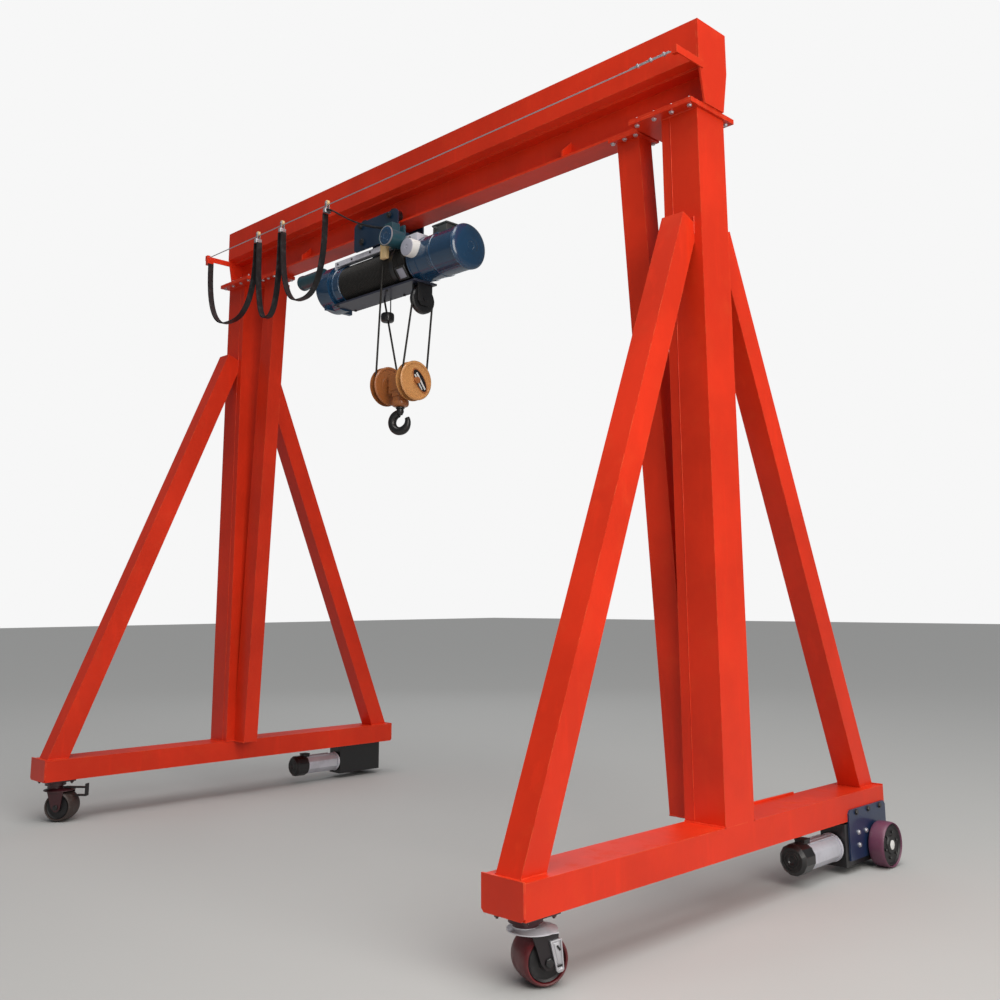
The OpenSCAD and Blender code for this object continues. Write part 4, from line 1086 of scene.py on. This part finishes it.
# Left cover's centre: golden enamel darkened as painted shade
dish = turned([(0, 0.072), (0.002, 0.070), (0.002, 0.050), (-0.001, 0.046)], 48)
dress(lay(dish, (left_x + sheave_half - 0.0065, 0, block_z), X), "left_cover_centre", "hook_block",
      "shaded_golden_enamel")

cross_low, cross_high = corners("block_crosshead")
block_x = (cross_low.x + cross_high.x) / 2
half_x, half_y, half_z = 0.070, 0.058, cross_high.z - block_z
head = block((block_x - half_x, -half_y, block_z - half_z), (block_x + half_x, half_y, block_z + half_z), 0.010)
with Editing(head) as hand:
    hand.pick(lambda face: abs(face.normal.y) > 0.95 and face.calc_area() > 0.004)
    bpy.ops.mesh.inset(thickness=0.014)
    bpy.ops.mesh.extrude_region_shrink_fatten(TRANSFORM_OT_shrink_fatten={"value": 0.004})
axle_len = cross_high.x - cross_low.x
axle = lay(turned([(0, 0.016), (0, 0.022), (0.003, 0.0235), (axle_len - 0.003, 0.0235), (axle_len, 0.022),
                   (axle_len, 0.016)], 32), (cross_low.x, 0, block_z), X)
nut_len = block_z - half_z - cross_low.z
collar = lay(turned([(0, 0.048), (0.006, 0.058), (0.018, 0.062), (0.040, 0.062), (0.044, 0.056),
                     (nut_len - 0.022, 0.056), (nut_len - 0.018, 0.062), (nut_len + 0.002, 0.062)], 48),
             (block_x, 0, cross_low.z))
# Crosshead: golden enamel darkened as painted shade
dress(joined([head, axle, collar]), "crosshead_body", "hook_block", "shaded_golden_enamel",
      instead_of="block_crosshead")


# Rope falls: each rope comes down from the hoist, runs under a block sheave and goes up again
groove_r = 0.1128
sheave_steps, straight_steps = 24, 40
winding_point = Vector((left_x + 0.118, -0.1578, axis_at.z))
anchor_point = Vector((left_x - 0.110, 0.045, tray_low.z - 0.0018))
upper_z, upper_reach = 3.629, 0.0918
upper_points = [Vector((right_x + 0.091, y, upper_z)) for y in (-upper_reach, upper_reach)]


def touching_angle(point, side):
    """The angle round the sheave at which a rope from the point first touches its groove."""
    y, z = point.y, point.z - block_z
    return math.atan2(z, y) - side * math.acos(groove_r / math.hypot(y, z))


def rope_under(x, near, far):
    """Path of the rope from one point, round the underside of the sheave at x, to another point."""
    first = touching_angle(near, -1) - 2 * math.pi
    last = touching_angle(far, 1)
    while first > last:
        first -= 2 * math.pi
    while last - first > 2 * math.pi:
        first += 2 * math.pi
    round_sheave = [Vector((x, groove_r * math.cos(a), block_z + groove_r * math.sin(a)))
                    for a in (first + (last - first) * i / sheave_steps for i in range(sheave_steps + 1))]
    down = [near.lerp(round_sheave[0], i / straight_steps) for i in range(straight_steps)]
    up = [round_sheave[-1].lerp(far, i / straight_steps) for i in range(1, straight_steps + 1)]
    return down + round_sheave + up


def rope_falls(name, path):
    """A rope on its sheave, swept along its path and baked in place."""
    falls = finished(swept(path, rope_r), name, "rope_steel", smooth=60)
    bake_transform(falls)
    return falls


left_rope = rope_under(left_x, winding_point, anchor_point)
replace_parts(rope_falls("left_rope_falls", left_rope), "hoist_ropes")
rope_falls("right_rope_falls", rope_under(right_x, *upper_points))


# Hook

hook_turn = math.radians(20)


def hook():
    """Forged hook: one round section swung round the bowl, full at the bottom and slim at the tip."""
    lowest, highest = corners("lifting_hook")
    bowl_r, section = 0.064, 0.030
    centre = Vector(((lowest.x + highest.x) / 2, 0, lowest.z + bowl_r + section))
    first, sweep = math.radians(100), math.radians(285)
    ring = start(bpy.ops.mesh.primitive_circle_add, vertices=20, radius=section, location=(bowl_r, 0, 0),
                 fill_type="NGON")
    carried(settle(ring), Matrix.Rotation(-first, 4, "Y"))
    with Editing(ring):
        bpy.ops.mesh.select_all(action="SELECT")
        bpy.ops.mesh.spin(steps=38, angle=sweep, center=(0, 0, 0), axis=(0, 1, 0))
        bpy.ops.mesh.select_all(action="SELECT")
        bpy.ops.mesh.fill_holes(sides=0)
        bpy.ops.mesh.remove_doubles(threshold=0.0001)
    for point in ring.data.vertices:
        angle = math.atan2(point.co.z, point.co.x)
        share = ((angle - first) % (2 * math.pi)) / sweep
        share = share if share < 1.1 else 0.0
        heart = Vector((bowl_r * math.cos(angle), 0, bowl_r * math.sin(angle)))
        thick = 0.95 + 0.10 * math.sin(math.pi * min(1.0, share * 1.15)) - 0.36 * max(0.0, share - 0.74) / 0.26
        point.co = heart + (point.co - heart) * min(1.0, thick)
    shank = turned([(bowl_r - 0.012, 0.018), (bowl_r + 0.010, 0.027), (bowl_r + 0.030, 0.025),
                    (bowl_r + 0.034, 0.032), (bowl_r + 0.042, 0.032), (bowl_r + 0.045, 0.020),
                    (highest.z - centre.z, 0.019)], 32)
    return carried(joined([ring, shank]), Matrix.Translation(centre) @ Matrix.Rotation(hook_turn, 4, "Z"))


dress(hook(), "forged_hook", "hook", "black_paint", smooth=50, instead_of="lifting_hook")


# Cable hangers and the wire's clips

def hanger(which, body):
    """A cream wheel on the wire between two cheeks that carry the cable's clamp."""
    node = "cable_hanger_" + which
    lowest, highest = corners(node)
    x = (lowest.x + highest.x) / 2
    wheel_z = highest.z - 0.021
    wheel = turned(mirrored([(-0.009, 0.010), (-0.009, 0.019), (-0.008, 0.021), (-0.006, 0.021),
                             (-0.003, 0.0145)]), 40)
    dress(lay(wheel, (x, wire_y, wheel_z), Y), which + "_hanger_wheel", body, "cream_plastic")
    parts = [block((x - 0.012, wire_y + s * 0.012 - 0.002, lowest.z + 0.02),
                   (x + 0.012, wire_y + s * 0.012 + 0.002, wheel_z + 0.012), 0.0015) for s in (-1, 1)]
    parts.append(block((x - 0.015, wire_y - 0.029, lowest.z), (x + 0.015, wire_y + 0.029, lowest.z + 0.034), 0.004))
    parts.append(repeated(hex_bolt(0.006, 0.005), [(x, wire_y - 0.014, wheel_z)], -Y))
    clamp_spots = [(x + 0.0150, wire_y + s * 0.020, lowest.z + 0.017) for s in (-1, 1)]
    parts.append(repeated(hex_bolt(0.004, 0.004), clamp_spots, X))
    dress(joined(parts), which + "_hanger_frame", body, "bright_steel", instead_of=node)


hanger("outer", "cable_trolley_outer")
hanger("inner", "cable_trolley_inner")
hanger("towed", "hoist")

tail_x, tail_len = 2.145, 0.270
tail = turned([(0, 0.0028), (0.002, 0.0032), (tail_len - 0.002, 0.0032), (tail_len, 0.0028)], 10)
clips = [lay(tail, (tail_x, wire_y, wire_z + 0.0075), X)]
for x in (2.20, 2.29, 2.38):
    clips.append(block((x - 0.007, wire_y - 0.009, wire_z - 0.008), (x + 0.007, wire_y + 0.009, wire_z + 0.014)))
dress(joined(clips), "wire_clips", "frame", "bright_steel")


# Room

def plain_surface(name, colour):
    f = Finish(name)
    speckle = f.noise(3, 4)
    return f.shade(Base_Color=f.mix(speckle * 0.15, colour, scaled(colour, 0.93)),
                   Roughness=0.75, Specular_IOR_Level=0.2)


floor_half = 60
floor_mesh = bpy.data.meshes.new("floor")
floor_mesh.from_pydata([(floor_half * x, floor_half * y, 0) for x, y in ((-1, -1), (1, -1), (1, 1), (-1, 1))],
                       [], [(0, 1, 2, 3)])
floor_mesh.materials.append(plain_surface("pale_floor", (0.43, 0.43, 0.42)))
floor = bpy.data.objects.new("floor", floor_mesh)
bpy.context.collection.objects.link(floor)

world = bpy.context.scene.world or bpy.data.worlds.new("world")
bpy.context.scene.world = world
world.use_nodes = True
sky = world.node_tree
sky.nodes.clear()


def sky_light(colour, strength):
    light = sky.nodes.new("ShaderNodeBackground")
    light.inputs["Color"].default_value = (*colour, 1)
    light.inputs["Strength"].default_value = strength
    return light.outputs[0]


# A dim glow lights the crane from all sides, and the camera sees a pale backdrop behind it
rays = sky.nodes.new("ShaderNodeLightPath")
choose = sky.nodes.new("ShaderNodeMixShader")
out = sky.nodes.new("ShaderNodeOutputWorld")
sky.links.new(rays.outputs["Is Camera Ray"], choose.inputs["Fac"])
sky.links.new(sky_light((0.93, 0.95, 1.0), 0.15), choose.inputs[1])
sky.links.new(sky_light((1, 1, 1), 0.93), choose.inputs[2])
sky.links.new(choose.outputs[0], out.inputs["Surface"])


def lamp(name, place, target, size, power, colour=(1, 1, 1)):
    light = bpy.data.lights.new(name, "AREA")
    light.shape = "RECTANGLE"
    light.size, light.size_y = size
    light.energy = power
    light.color = colour
    made = bpy.data.objects.new(name, light)
    made.location = place
    made.rotation_euler = (Vector(target) - Vector(place)).to_track_quat("-Z", "Y").to_euler()
    bpy.context.collection.objects.link(made)


lamp("window_light", (8.4, -2.2, 4.6), (0, 0, 2.0), (6, 5), 460, (1, 0.97, 0.92))
lamp("roof_light", (3.2, -1.5, 9.5), (0.5, 0, 2), (7, 6), 250, (1, 0.98, 0.95))
lamp("near_light", (4, -10, 4), (0, 0, 2.5), (6, 4), 25, (1, 0.98, 0.96))
lamp("far_light", (-7, 7, 6), (0, 0, 3), (5, 4), 70, (0.93, 0.96, 1))

even = bpy.data.lights.new("even_light", "SUN")
even.energy = 1.7
even.angle = math.radians(60)
even_light = bpy.data.objects.new("even_light", even)
even_light.location = (0, 0, 12)
even_light.rotation_euler = (math.radians(8), math.radians(12), 0)
bpy.context.collection.objects.link(even_light)
